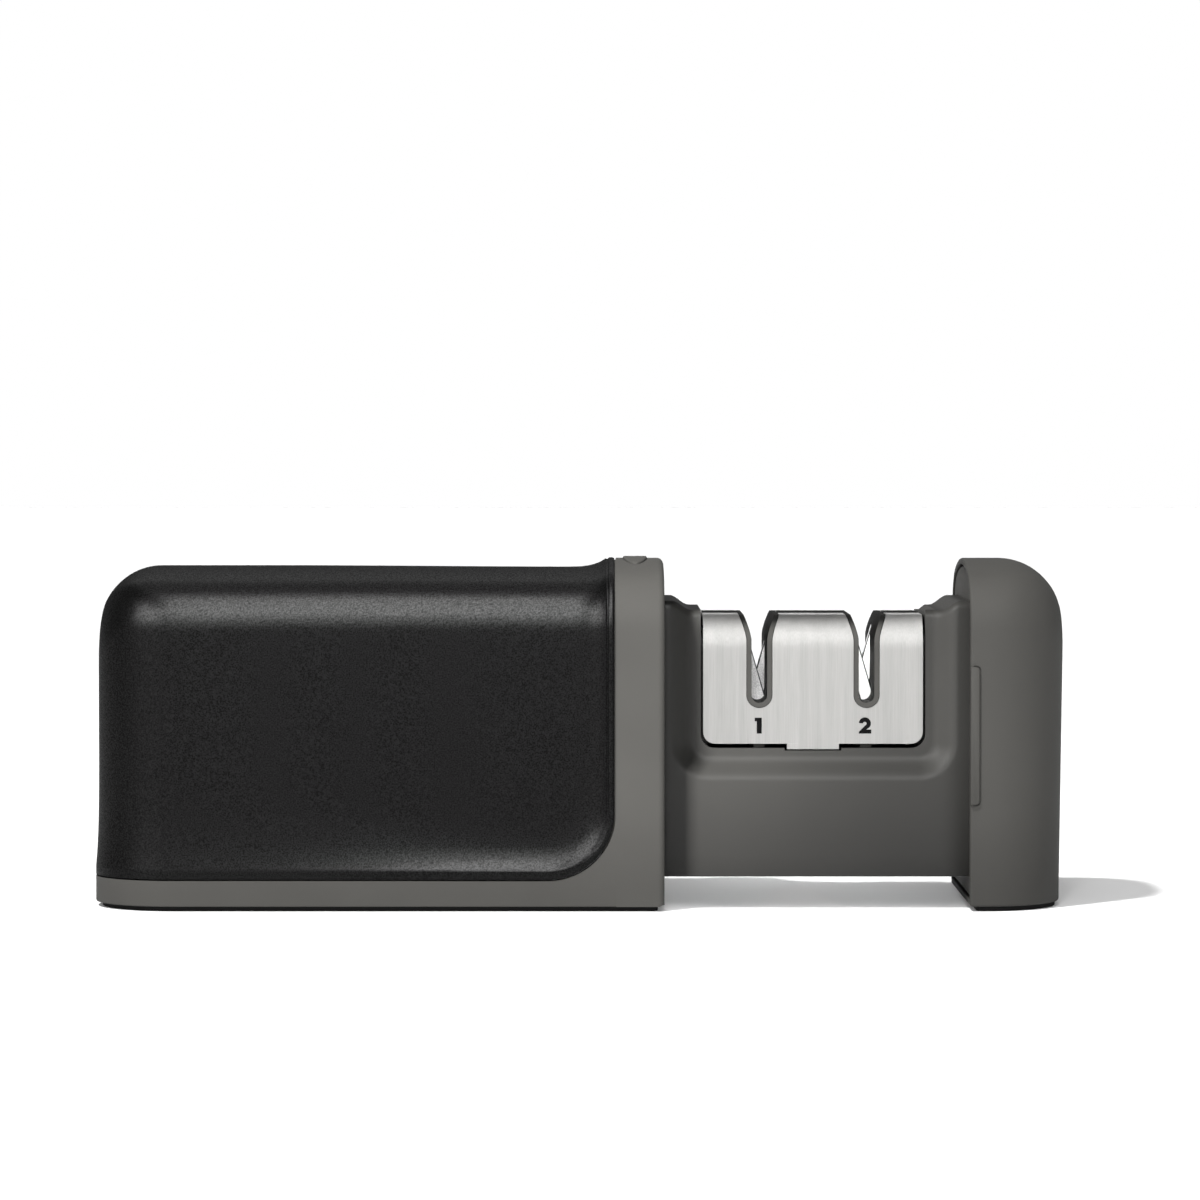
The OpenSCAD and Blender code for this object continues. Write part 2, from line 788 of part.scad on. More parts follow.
// Outline of the cap's rubber pad, with grow added all round
function cap_pad_plan(grow) =
    plan(x_cap + pad_inset - grow, x_tip - pad_inset + grow, depth / 2 - pad_inset + grow, pad_corner_r,
         min(end_plan_r, cap_len - pad_inset - pad_corner_r - fit) - pad_inset);

// Ring of the end cap, leaning in below the level where its end stands out most
function leaned(ring) =
    [for (p = ring) let (share = (p[0] - x_cap) / cap_len)
        [p[0] + share * tan(cap_lean) * (p[2] - height + end_side_r), p[1], p[2]]];

// End cap: from its tip to x0, drawn in by inset
module cap_body(inset, base, x0) {
    tip = x_tip - inset;
    steps = tip_steps(end_plan_r - inset);
    n = len(steps);
    loft(concat(
        [leaned(ring(x0, body_section(tip - x0, inset, base)))],
        [for (i = [n - 1:-1:0]) leaned(ring(tip - steps[i], body_section(steps[i], inset, base)))]));
}

// Front view of the pull lip, round on its right side
function lip_outline() =
    let (r = lip_w / 2, z0 = lip_z - lip_len / 2, z1 = lip_z + lip_len / 2)
    concat([[x_cap, z0]],
           arc([x_cap + r, z0 + r], r, 270, 360),
           arc([x_cap + r, z1 - r], r, 0, 90),
           [[x_cap, z1]]);

module end_cap() {
    color(cap_grey) {
        difference() {
            union() {
                cap_body(0, pad_proud, x_cap);
                // Pull lips on the front and back edge
                for (s = [-1, 1])
                    translate([0, s * (depth / 2 - over / 2 + lip_proud / 2), 0])
                        along_y(over + lip_proud)
                            polygon(lip_outline());
            }
            // Rabbet for the flange, then the hollow behind it
            along_x(x_cap - over, flange_back + flange_t + fit + over)
                polygon(flat(arch(depth / 2 - cap_rim, pad_proud + cap_rim, height - cap_rim,
                                  arch_r - cap_rim)));
            cap_body(cap_wall, pad_proud + cap_wall, x_cap + over);
            translate([0, 0, pad_proud - over])
                linear_extrude(pad_seat + over)
                    polygon(cap_pad_plan(fit));
        }
        // Posts that the cap screws bite into
        for (z = cap_screw_z)
            translate([x_flange_end + fit, 0, z])
                difference() {
                    pin_x(x_tip - cap_wall / 2 - x_flange_end - fit, boss_d);
                    pin_x(cap_screw_len, bore_d);
                }
    }
}

module cap_pad() {
    color(rubber_black)
        linear_extrude(pad_proud + pad_seat - fit)
            polygon(cap_pad_plan(0));
}

module cap_screws() {
    color(steel)
        for (z = cap_screw_z)
            translate([x_flange - fit - screw_head_h, 0, z]) {
                pin_x(screw_head_h, screw_head_d);
                pin_x(screw_head_h + cap_screw_len, screw_d);
            }
}

module steel_cover() {
    color(steel)
        difference() {
            intersection() {
                along_x(x_mid - cover_w / 2, cover_w)
                    difference() {
                        polygon(gate(seat_hw, cover_base - tab_h, cover_top, bend_r));
                        polygon(gate(seat_hw - sheet_t, cover_base - tab_h - over, cover_top - sheet_t,
                                     bend_r - sheet_t));
                    }
                along_y(depth) {
                    polygon(cradle(x_mid, cover_w / 2 + fit, cover_base, height, cover_r));
                    translate([x_mid - tab_w / 2, cover_base - tab_h])
                        square([tab_w, cover_r + tab_h]);
                }
            }
            slot_cuts(0);
        }
}

// Abrasive plate that leans to one side, with its working edge through the crossing point
module plate(x, cross, lean, y0, grow) {
    translate([x, y0 - grow, cover_top - cross])
        rotate([0, lean, 0])
            translate([lean < 0 ? -plate_t - grow : -grow, 0, -plate_below - grow])
                cube([plate_t + 2 * grow, plate_w + 2 * grow, plate_len + 2 * grow]);
}

module front_plates(grow) {
    plate(slot_x[0], coarse_cross, -plate_lean, -plate_gap - plate_w, grow);
    plate(slot_x[1], fine_cross, -plate_lean, -plate_gap - plate_w, grow);
}

module back_plates(grow) {
    plate(slot_x[0], coarse_cross, plate_lean, plate_gap, grow);
    plate(slot_x[1], fine_cross, plate_lean, plate_gap, grow);
}

// Both holder halves before they are parted: a block that carries the slot liners
module holder_block() {
    difference() {
        union() {
            along_x(x_mid - holder_len / 2, holder_len)
                polygon(gate(holder_hw, holder_base, holder_top, holder_edge_r));
            intersection() {
                slot_cuts(-liner_clear);
                along_x(x_mid - holder_len / 2, holder_len)
                    polygon(gate(seat_hw - fit, holder_base, cover_top - fit, bend_r - fit));
            }
        }
        slot_cuts(-liner_wall - liner_clear);
        for (z = dowel_z)
            translate([x_mid, 0, z])
                pin_y(dowel_len + 2 * dowel_spare, dowel_d + dowel_clear);
    }
}

module holder_half(side) {
    intersection() {
        holder_block();
        translate([x_mid - cover_w, side < 0 ? -depth : fit, 0])
            cube([2 * cover_w, depth - fit, height]);
    }
}

module holder_front() {
    color(frame_grey)
        difference() {
            holder_half(-1);
            front_plates(plate_clear);
        }
}

module holder_back() {
    color(frame_grey)
        difference() {
            holder_half(1);
            back_plates(plate_clear);
        }
}

module holder_pins() {
    color(steel)
        for (z = dowel_z)
            translate([x_mid, 0, z])
                pin_y(dowel_len, dowel_d);
}

module coarse_plate_front() {
    color("lightgray")
        plate(slot_x[0], coarse_cross, -plate_lean, -plate_gap - plate_w, 0);
}

module coarse_plate_back() {
    color("lightgray")
        plate(slot_x[0], coarse_cross, plate_lean, plate_gap, 0);
}

module fine_plate_front() {
    color("white")
        plate(slot_x[1], fine_cross, -plate_lean, -plate_gap - plate_w, 0);
}

module fine_plate_back() {
    color("white")
        plate(slot_x[1], fine_cross, plate_lean, plate_gap, 0);
}

handle_frame();
grip_core();
grip_skin();
handle_pad();
frame_screws();
latch_spring();
release_button();
carrier();
carrier_floor();
carrier_screws();
end_cap();
cap_pad();
cap_screws();
steel_cover();
holder_front();
holder_back();
holder_pins();
coarse_plate_front();
coarse_plate_back();
fine_plate_front();
fine_plate_back();
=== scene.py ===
"""Looks of the pull-through knife sharpener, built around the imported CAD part."""
import json
import math

import bmesh
import bpy
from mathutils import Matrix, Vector


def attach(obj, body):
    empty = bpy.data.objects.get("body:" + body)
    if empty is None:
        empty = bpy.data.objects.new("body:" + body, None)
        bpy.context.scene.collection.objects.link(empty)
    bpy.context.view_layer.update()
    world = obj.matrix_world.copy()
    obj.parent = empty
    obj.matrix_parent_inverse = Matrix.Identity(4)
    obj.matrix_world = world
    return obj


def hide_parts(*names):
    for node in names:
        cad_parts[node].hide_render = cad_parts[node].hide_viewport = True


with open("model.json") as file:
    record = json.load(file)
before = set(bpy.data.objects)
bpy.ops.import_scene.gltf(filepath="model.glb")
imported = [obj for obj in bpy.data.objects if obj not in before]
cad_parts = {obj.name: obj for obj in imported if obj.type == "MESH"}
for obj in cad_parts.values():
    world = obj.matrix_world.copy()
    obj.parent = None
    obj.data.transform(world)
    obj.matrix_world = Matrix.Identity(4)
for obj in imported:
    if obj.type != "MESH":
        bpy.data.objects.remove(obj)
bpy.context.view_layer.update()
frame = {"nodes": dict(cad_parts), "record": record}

MM = 0.001  # a millimetre in the scene's metres
MERGE = 0.002  # points closer than this many millimetres become one
scene = bpy.context.scene
nodes = frame["nodes"]


# Node helpers

def new_material(name):
    """An empty node material with its Principled shader."""
    mat = bpy.data.materials.new(name)
    mat.use_nodes = True
    tree = mat.node_tree
    return mat, tree, tree.nodes["Principled BSDF"]


def add(tree, kind, **values):
    """A node with some of its settings and input values."""
    node = tree.nodes.new(kind)
    for key, value in values.items():
        if key in node.inputs:
            node.inputs[key].default_value = value
        else:
            setattr(node, key, value)
    return node


def object_coords(tree, stretch=(1, 1, 1)):
    """Object coordinates in millimetres, stretched per axis."""
    coords = add(tree, "ShaderNodeTexCoord")
    mapping = add(tree, "ShaderNodeMapping", Scale=tuple(s / MM for s in stretch))
    tree.links.new(coords.outputs["Object"], mapping.inputs["Vector"])
    return mapping.outputs["Vector"]


def noise(tree, vector, scale, detail=2.0, roughness=0.5):
    """A noise texture's value."""
    tex = add(tree, "ShaderNodeTexNoise", Scale=scale, Detail=detail, Roughness=roughness)
    tree.links.new(vector, tex.inputs["Vector"])
    return tex.outputs["Fac"]


def ramp(tree, fac, low, high, at=(0.3, 0.7)):
    """A value or colour that follows a texture between two ends."""
    node = add(tree, "ShaderNodeValToRGB")
    tree.links.new(fac, node.inputs["Fac"])
    ends = node.color_ramp.elements
    for end, value, pos in zip(ends, (low, high), at):
        rgb = value if isinstance(value, tuple) else (value,) * 3
        end.color = (*rgb, 1)
        end.position = pos
    return node.outputs["Color"]


def along(tree, axis, low, high, start, end):
    """A factor from low to high between two distances from the origin along one axis, in millimetres."""
    split = add(tree, "ShaderNodeSeparateXYZ")
    tree.links.new(object_coords(tree), split.inputs["Vector"])
    far = add(tree, "ShaderNodeMath", operation="ABSOLUTE")
    tree.links.new(split.outputs[axis], far.inputs[0])
    place = add(tree, "ShaderNodeMapRange", interpolation_type="SMOOTHSTEP")
    for key, value in zip(("From Min", "From Max", "To Min", "To Max"), (start, end, low, high)):
        place.inputs[key].default_value = value
    tree.links.new(far.outputs[0], place.inputs["Value"])
    return place.outputs["Result"]


def times(tree, colour, factor):
    """A colour times a factor."""
    node = add(tree, "ShaderNodeVectorMath", operation="SCALE")
    tree.links.new(colour, node.inputs["Vector"])
    tree.links.new(factor, node.inputs["Scale"])
    return node.outputs["Vector"]


def bump(tree, height, strength, depth):
    """A normal that follows a texture as relief of that depth in millimetres."""
    node = add(tree, "ShaderNodeBump", Strength=strength, Distance=depth * MM)
    tree.links.new(height, node.inputs["Height"])
    return node.outputs["Normal"]


def shade(rgb, factor):
    """A lighter or darker version of a colour."""
    return tuple(c * factor for c in rgb)


# Materials

# Fades of a colour, painted shade and light among them: axis, factors at start and end, start and end in
# millimetres
# painted shade: the greys darker towards the bottom, where less light falls
PAINTED_SHADE_LOW = ("Z", 0.72, 1.0, 1.5, 26)
# painted shade: the liners darker deep inside the slots
SLOT_PAINTED_SHADE = ("Y", 0.12, 1.0, 14.5, 16.6)
GRIT_TOP = ("Z", 1.35, 0.95, 37.5, 41.5)
# painted light and shade: the carrier lighter beside the collar and darker towards the cap, as light falls
# from the left
CARRIER_PAINTED_FALLOFF = ("X", 1.22, 0.66, 18, 64)
# painted shade: the carrier darker towards its underside
CARRIER_PAINTED_SHADE_LOW = ("Z", 0.5, 1.0, 4, 30)


def moulded_plastic(name, rgb, roughness, fades=(PAINTED_SHADE_LOW,), gloss=0.12):
    """Satin moulded plastic: faint colour drift, painted shade and light that fade along its axes, fine
    spark-eroded grain.
    """
    mat, tree, bsdf = new_material(name)
    coords = object_coords(tree)
    drift = noise(tree, coords, scale=0.05, detail=3)
    fine = noise(tree, coords, scale=6.0)
    colour = ramp(tree, drift, shade(rgb, 0.95), shade(rgb, 1.05))
    # painted shade and light, multiplied into the colour
    for fade in fades:
        colour = times(tree, colour, along(tree, *fade))
    tree.links.new(colour, bsdf.inputs["Base Color"])
    tree.links.new(ramp(tree, fine, roughness - 0.04, roughness + 0.05), bsdf.inputs["Roughness"])
    tree.links.new(bump(tree, fine, strength=0.25, depth=0.05), bsdf.inputs["Normal"])
    bsdf.inputs["Specular IOR Level"].default_value = gloss
    return mat


def soft_touch(name, rgb):
    """Matt overmoulded elastomer: no gloss of its own, under a finely grained satin coat."""
    mat, tree, bsdf = new_material(name)
    coords = object_coords(tree)
    grain = noise(tree, coords, scale=3.8, roughness=0.6)
    patch = noise(tree, coords, scale=0.08, detail=3)
    tree.links.new(ramp(tree, patch, shade(rgb, 0.85), shade(rgb, 1.2)), bsdf.inputs["Base Color"])
    tree.links.new(ramp(tree, grain, 0.62, 0.72), bsdf.inputs["Roughness"])
    tree.links.new(ramp(tree, grain, 0.1, 0.34, (0.36, 0.64)), bsdf.inputs["Coat Weight"])
    dents = bump(tree, grain, strength=0.25, depth=0.035)
    tree.links.new(dents, bsdf.inputs["Normal"])
    tree.links.new(dents, bsdf.inputs["Coat Normal"])
    bsdf.inputs["Specular IOR Level"].default_value = 0.0
    bsdf.inputs["Coat Roughness"].default_value = 0.35
    return mat


def rubber(name, rgb):
    """Dull rubber with a fine unevenness, also for print and for the plates' edges, painted dark as shade
    lines.
    """
    mat, tree, bsdf = new_material(name)
    fine = noise(tree, object_coords(tree), scale=3.0, detail=3)
    tree.links.new(ramp(tree, fine, shade(rgb, 0.8), shade(rgb, 1.3)), bsdf.inputs["Base Color"])
    tree.links.new(ramp(tree, fine, 0.7, 0.85), bsdf.inputs["Roughness"])
    tree.links.new(bump(tree, fine, strength=0.4, depth=0.05), bsdf.inputs["Normal"])
    bsdf.inputs["Specular IOR Level"].default_value = 0.08
    return mat


def brushed_steel(name, rgb, stretch, roughness=0.3):
    """Steel with fine lines along the axis that is stretched least."""
    mat, tree, bsdf = new_material(name)
    coords = object_coords(tree, stretch)
    lines = noise(tree, coords, scale=6.0, detail=4, roughness=0.6)
    broad = noise(tree, coords, scale=0.6)
    tree.links.new(ramp(tree, broad, shade(rgb, 0.94), shade(rgb, 1.04)), bsdf.inputs["Base Color"])
    tree.links.new(ramp(tree, lines, roughness - 0.08, roughness + 0.1), bsdf.inputs["Roughness"])
    tree.links.new(bump(tree, lines, strength=0.18, depth=0.02), bsdf.inputs["Normal"])
    bsdf.inputs["Metallic"].default_value = 1.0
    bsdf.inputs["Anisotropic"].default_value = 0.4
    return mat


def grit(name, rgb):
    """Abrasive grit that sparkles, lighter towards the foot of the slots."""
    mat, tree, bsdf = new_material(name)
    cells = add(tree, "ShaderNodeTexVoronoi", Scale=7.0)
    tree.links.new(object_coords(tree), cells.inputs["Vector"])
    grains = cells.outputs["Distance"]
    colour = ramp(tree, grains, shade(rgb, 1.3), shade(rgb, 0.6), (0.05, 0.6))
    tree.links.new(times(tree, colour, along(tree, *GRIT_TOP)), bsdf.inputs["Base Color"])
    tree.links.new(bump(tree, grains, strength=0.8, depth=0.06), bsdf.inputs["Normal"])
    bsdf.inputs["Metallic"].default_value = 0.2
    bsdf.inputs["Roughness"].default_value = 0.35
    return mat


def ceramic(name, rgb):
    """Fine ceramic, almost even in colour."""
    mat, tree, bsdf = new_material(name)
    fine = noise(tree, object_coords(tree), scale=5.0, detail=3)
    tree.links.new(ramp(tree, fine, shade(rgb, 0.96), shade(rgb, 1.02)), bsdf.inputs["Base Color"])
    tree.links.new(ramp(tree, fine, 0.35, 0.5), bsdf.inputs["Roughness"])
    tree.links.new(bump(tree, fine, strength=0.15, depth=0.02), bsdf.inputs["Normal"])
    return mat


FRAME_GREY = (0.058, 0.0565, 0.0525)
MODULE_GREY = (0.041, 0.040, 0.0372)
MATERIALS = {
    "frame_grey": moulded_plastic("frame_grey", FRAME_GREY, 0.62),
    "core_plastic": moulded_plastic("core_plastic", (0.1, 0.1, 0.1), 0.5),
    "module_grey": moulded_plastic("module_grey", MODULE_GREY, 0.6),
    "liner_grey": moulded_plastic("liner_grey", shade(MODULE_GREY, 1.15), 0.6, (SLOT_PAINTED_SHADE,)),
    "grip_soft_touch": soft_touch("grip_soft_touch", (0.0008, 0.0008, 0.0008)),
    "pad_rubber": rubber("pad_rubber", (0.006, 0.006, 0.006)),
    "steel_sheet": brushed_steel("steel_sheet", (0.5, 0.496, 0.484), (1, 1, 0.02), 0.62),
    "screw_steel": brushed_steel("screw_steel", (0.55, 0.55, 0.54), (1, 1, 1)),
    "spring_steel": brushed_steel("spring_steel", (0.5, 0.5, 0.5), (0.05, 1, 1)),
    "coarse_abrasive": grit("coarse_abrasive", (0.55, 0.545, 0.54)),
    "fine_ceramic": ceramic("fine_ceramic", (0.94, 0.94, 0.925)),
}
# the carrier's darker grey, with painted light that falls off towards the cap and painted shade towards its
# underside
CARRIER_GREY = moulded_plastic("carrier_grey", shade(MODULE_GREY, 0.76), 0.46,
                               (CARRIER_PAINTED_FALLOFF, CARRIER_PAINTED_SHADE_LOW), 0.2)
INK = rubber("print_ink", (0.003, 0.003, 0.003))
# painted shade: dark plate edges that stand for the shadow lines where the plates cross
PLATE_EDGE_SHADE = rubber("plate_edge_shade", (0.03, 0.03, 0.03))


# Sizes of the part in millimetres: x runs along the slide, y across it, z up; hw is half a width

DEPTH = 50.0  # across the handle and the cap
HEIGHT = 64.4  # crown of the collar and the cap
CROWN_R = 65.0  # the crown's curve across the slide
ARCH_R = 11.0  # round between the crown and the sides
END_PLAN_R = 15.5  # rounded ends, seen from above
END_SIDE_R = 12.3  # the grip's far end, seen from the front
CAP_SIDE_R = 11.3  # the cap's outer end, seen from the front
X_END = -89.9  # far end of the handle
X_STEP = 4.4  # inner end of the collar, under the grip
X_SEAM = 6.9  # seam between the grip and the collar
X_FACE = 15.8  # face of the collar
X_CAP = 71.8  # inner rim of the cap
X_TIP = 89.9  # outer end of the cap
PAD_PROUD = 0.9  # rubber pads below the shells
BAND_TOP = 5.65  # top of the base band
SEAM_R = 12.6  # the seam's corner between band and collar
GRIP_INSET = 1.4  # the grip's sides behind the collar's
CORE_INSET = 2.75  # the collar's step under the grip
GRIP_TIP = 0.6  # the grip's sides at the far end
FLARE_W = 9.0  # width of the grip's flare along its seam
COLLAR_EDGE = 1.2  # round along the collar's face
CAP_LEAN = math.radians(0.8)  # lean of the cap's outer end
TUNNEL_HW = 19.9  # tunnel in the collar
TUNNEL_TOP = 57.3
TUNNEL_R = 2.0
CARRIER_HW = 19.5  # flanks of the carrier
CARRIER_TOP = 56.9
BELLY = 6.0  # underside of the carrier
X_TAIL = -21.85  # inner end of the carrier
SHOULDER_X = 12.8  # where the carrier reaches its full height
X_MID = 43.3  # middle of the saddle and the steel cover
SADDLE_LEN = 53.2
SADDLE_H = 33.2
SADDLE_R = 7.0  # the saddle's lower corners
SADDLE_SLOPE = 4.6  # width of the slope into the saddle
SADDLE_DEPTH = 2.5  # depth of the saddle in the flanks
SADDLE_DROP = 2.0  # depth of the saddle in the crest
CREST_SLOPE = 3.6  # width of the slope in the crest
SEAT_HW = 17.0  # steel cover across the slide
COVER_TOP = 54.2
COVER_BASE = 30.4
COVER_W = 40.6  # length of the cover along the slide
SHEET_T = 0.6  # thickness of its sheet
BEND_R = 4.6  # width of its upper bend
BEND_RISE = 6.4  # height of its upper bend
COVER_R = 2.2  # its lower corners
TAB_W = 9.6  # tab in the middle of its lower edge
TAB_H = 1.0
SLOT_X = (33.4, 53.2)  # middles of the two slots
SLOT_W = 4.8
SLOT_MOUTH = 7.6  # width of a slot at the top
FLARE_H = 4.6  # height of its flare
SLOT_DEPTH = 17.2
FLANGE_X0 = 72.1  # flange of the carrier in the cap's rim
FLANGE_X1 = 74.6
FLANGE_INSET = 1.55
CAP_RIM = 1.2  # width of the cap's rim
LIP_W = 1.7  # pull lip on the cap
LIP_Z0 = 19.65
LIP_Z1 = 44.95
LIP_GROOVE = 0.25  # groove round the pull lip
BUTTON_X = 10.5  # middle of the button
BUTTON_LEN = 22.0
BUTTON_W = 4.6
BUTTON_PROUD = 0.35  # its height above the crown
BUTTON_GAP = 0.15  # gap round it in its well
FLAT_R = 1e4  # crown's curve of a section with a flat top
PAST_SIDE = 26  # how far the slots' cutters reach to both sides
PAST_TOP = 6  # and above the cover


# Mesh helpers

SIDE_STEPS = 8  # steps of a section's side, its round and its crown
ARCH_STEPS = 12
CROWN_STEPS = 10
OVAL_STEPS = 72  # steps round the button
NEAR_END = 0.001  # share of an edge that counts as its end


def clean_mesh(name, verts, faces):
    """A mesh from points in millimetres, with doubled points merged and faces turned outward."""
    mesh = bpy.data.meshes.new(name)
    mesh.from_pydata([tuple(c * MM for c in v) for v in verts], [], faces)
    work = bmesh.new()
    work.from_mesh(mesh)
    bmesh.ops.remove_doubles(work, verts=work.verts, dist=MERGE * MM)
    bmesh.ops.recalc_face_normals(work, faces=work.faces)
    work.to_mesh(mesh)
    work.free()
    return mesh


def smooth(mesh, sharp):
    """Smooth shading, broken at edges that turn by more than that many degrees."""
    mesh.polygons.foreach_set("use_smooth", [True] * len(mesh.polygons))
    mesh.set_sharp_from_angle(angle=math.radians(sharp))


def piece(name, body, slot, verts, faces, stands_for=(), sharp=38):
    """A closed mesh that rides a body, from points in millimetres."""
    mesh = clean_mesh(name, verts, faces)
    smooth(mesh, sharp)
    mesh.materials.append(MATERIALS[slot])
    obj = bpy.data.objects.new(name, mesh)
    scene.collection.objects.link(obj)
    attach(obj, body)
    if stands_for:
        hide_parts(*stands_for)
    return obj


def soften(obj, width, angle=60, segments=2):
    """Small rounds along the sharp edges."""
    mod = obj.modifiers.new("soft_edges", "BEVEL")
    mod.width = width * MM
    mod.segments = segments
    mod.limit_method = "ANGLE"
    mod.angle_limit = math.radians(angle)
    mod.harden_normals = True


def join(*shells):
    """Several shells as one list of points and faces."""
    verts, faces = [], []
    for shell_verts, shell_faces in shells:
        start = len(verts)
        verts += shell_verts
        faces += [tuple(i + start for i in face) for face in shell_faces]
    return verts, faces


def spread(first, last, n):
    """Values from first to last in n even steps."""
    return [first + (last - first) * k / n for k in range(n + 1)]


def quarter(n):
    """Angles of a quarter turn in n even steps."""
    return [math.radians(90 / n * k) for k in range(n + 1)]


def eased(t):
    """A soft step from 0 to 1."""
    t = min(1.0, max(0.0, t))
    return t * t * (3 - 2 * t)


def drawn_in(d, r):
    """How far a round of radius r lies behind its side at distance d from its end."""
    return 0.0 if d >= r else r - math.sqrt(max(0.0, r * r - (r - d) ** 2))


def crown_arch(hw, top, r, crown=None):
    """The crown's radius and middle, where the round at its side starts, and the angle where they meet."""
    crown_r = crown or CROWN_R - DEPTH / 2 + max(hw, ARCH_R)
    crown_z = top - crown_r
    arch_z = crown_z + math.sqrt((crown_r - r) ** 2 - (hw - r) ** 2)
    return crown_r, crown_z, arch_z, math.atan2(arch_z - crown_z, hw - r)


def half_arch(hw, base, top, r, foot=0.0, ny=1.0, crown=None):
    """Half a crowned section from the middle of its base to its crown: (y, z, inward offset at the foot)."""
    crown_r, crown_z, arch_z, meet = crown_arch(hw, top, r, crown)
    rows = [(f * (hw - foot * ny), base, foot) for f in (0, 0.5, 1)]
    for b in quarter(5)[1:]:
        inward = foot * (1 - math.sin(b))
        rows.append((hw - inward * ny, base + foot * (1 - math.cos(b)), inward))
    rows += [(hw, z, 0) for z in spread(base + foot, arch_z, SIDE_STEPS)[1:]]
    for b in spread(0, meet, ARCH_STEPS)[1:]:
        rows.append((hw - r + r * math.cos(b), arch_z + r * math.sin(b), 0))
    for b in spread(meet, math.pi / 2, CROWN_STEPS)[1:]:
        rows.append((crown_r * math.cos(b), crown_z + crown_r * math.sin(b), 0))
    return rows


def ring(x, rows, nx=0.0):
    """A closed ring of points at x from half a section; nx draws the foot in along the slide."""
    half = [(x - inward * nx, y, z) for y, z, inward in rows]
    return half + [(px, -y, z) for px, y, z in half[-2:0:-1]]


def loft(rings, ends=True):
    """Quads through closed rings; the ends are filled by level strips, or joined to one another."""
    n = len(rings[0])
    verts = [p for r in rings for p in r]
    faces = []
    count = len(rings)
    for i in range(count - 1 if ends else count):
        a, b = i * n, (i + 1) % count * n
        faces += [(a + j, a + (j + 1) % n, b + (j + 1) % n, b + j) for j in range(n)]
    if ends:
        top = n // 2
        for start in (0, (count - 1) * n):
            faces.append((start, start + 1, start + n - 1))
            faces += [(start + j, start + j + 1, start + n - j - 1, start + n - j) for j in range(1, top - 1)]
            faces.append((start + top - 1, start + top, start + top + 1))
    return verts, faces


def stack(outlines):
    """Quads through outlines of equal length stacked on one another, with flat ends."""
    n = len(outlines[0])
    verts = [p for o in outlines for p in o]
    faces = []
    for i in range(len(outlines) - 1):
        a, b = i * n, (i + 1) * n
        faces += [(a + j, a + (j + 1) % n, b + (j + 1) % n, b + j) for j in range(n)]
    faces.append(tuple(range(n)))
    faces.append(tuple(range(len(verts) - n, len(verts))))
    return verts, faces


def arc(cx, cy, r, start, end, n):
    """Points of a circle from one angle in degrees to another."""
    angles = [math.radians(a) for a in spread(start, end, n)]
    return [(cx + r * math.cos(a), cy + r * math.sin(a)) for a in angles]


def prism(outline, y0, y1):
    """An outline in the front view, from y0 to y1."""
    return stack([[(x, y, z) for x, z in outline] for y in (y0, y1)])


def box(x0, x1, hw, z0, z1):
    """A block that is centred across the slide."""
    return prism([(x0, z0), (x1, z0), (x1, z1), (x0, z1)], -hw, hw)


def thicken(outer, inner, faces):
    """A closed skin between two sheets of points that share their faces."""
    n = len(outer)
    edges = {}
    for face in faces:
        for a, b in zip(face, face[1:] + face[:1]):
            edges.setdefault((min(a, b), max(a, b)), []).append((a, b))
    rim = [(b, a, a + n, b + n) for uses in edges.values() if len(uses) == 1 for a, b in uses]
    return outer + inner, faces + [tuple(i + n for i in reversed(f)) for f in faces] + rim


def close_seams(mesh):
    """Splits open edges at the open corners that lie on them, so that both sides of a cut meet."""
    work = bmesh.new()
    work.from_mesh(mesh)
    rim = [e for e in work.edges if e.is_boundary]
    corners = {v.co.copy().freeze() for e in rim for v in e.verts}
    for edge in rim:
        start = edge.verts[0]
        way = edge.verts[1].co - start.co
        stops = set()
        for corner in corners:
            share = way.dot(corner - start.co) / way.length_squared
            beside = (corner - start.co - share * way).length
            if NEAR_END < share < 1 - NEAR_END and beside < MERGE * MM:
                stops.add(share)
        part, reach = edge, 1.0
        for share in sorted(stops, reverse=True):
            other = bmesh.utils.edge_split(part, start, share / reach)[0]
            part, reach = (part if start in part.verts else other), share
    bmesh.ops.remove_doubles(work, verts=[v for v in work.verts if v.is_boundary], dist=MERGE * MM)
    work.to_mesh(mesh)
    work.free()


def cut(obj, *cutters):
    """Takes closed shells away from a piece for good."""
    for verts, faces in cutters:
        mesh = clean_mesh("cutter", verts, faces)
        tool = bpy.data.objects.new("cutter", mesh)
        scene.collection.objects.link(tool)
        mod = obj.modifiers.new("cut", "BOOLEAN")
        mod.operation = "DIFFERENCE"
        mod.solver = "EXACT"
        mod.object = tool
        bpy.context.view_layer.update()
        shown = obj.evaluated_get(bpy.context.evaluated_depsgraph_get())
        done = bpy.data.meshes.new_from_object(shown)
        obj.modifiers.clear()
        obj.data = done
        bpy.data.objects.remove(tool)
        bpy.data.meshes.remove(mesh)
    close_seams(obj.data)
    smooth(obj.data, 30)


# End cap

LIP_LEFT = 0.02  # from the cap's rim to the pull lip, and to its pocket
LIP_POCKET_LEFT = 0.6
LIP_POCKET = (24.5, 26)  # the pocket in the cap, from y to y
LIP_ROUNDS = ((24.3, 0), (25.4, 0), (25.52, 0.05), (25.6, 0.18))  # the lip's section: y, inset


def cap_section(d, foot):
    """Section rows of the cap at distance d from its outer end, and its outward slope along the slide."""
    hw = DEPTH / 2 - drawn_in(d, END_PLAN_R)
    top = HEIGHT - drawn_in(d, CAP_SIDE_R)
    nx = max(0.0, 1 - d / END_PLAN_R)
    r = min(ARCH_R, hw - 4)
    return half_arch(hw, PAD_PROUD, top, r, foot, math.sqrt(1 - nx * nx)), nx


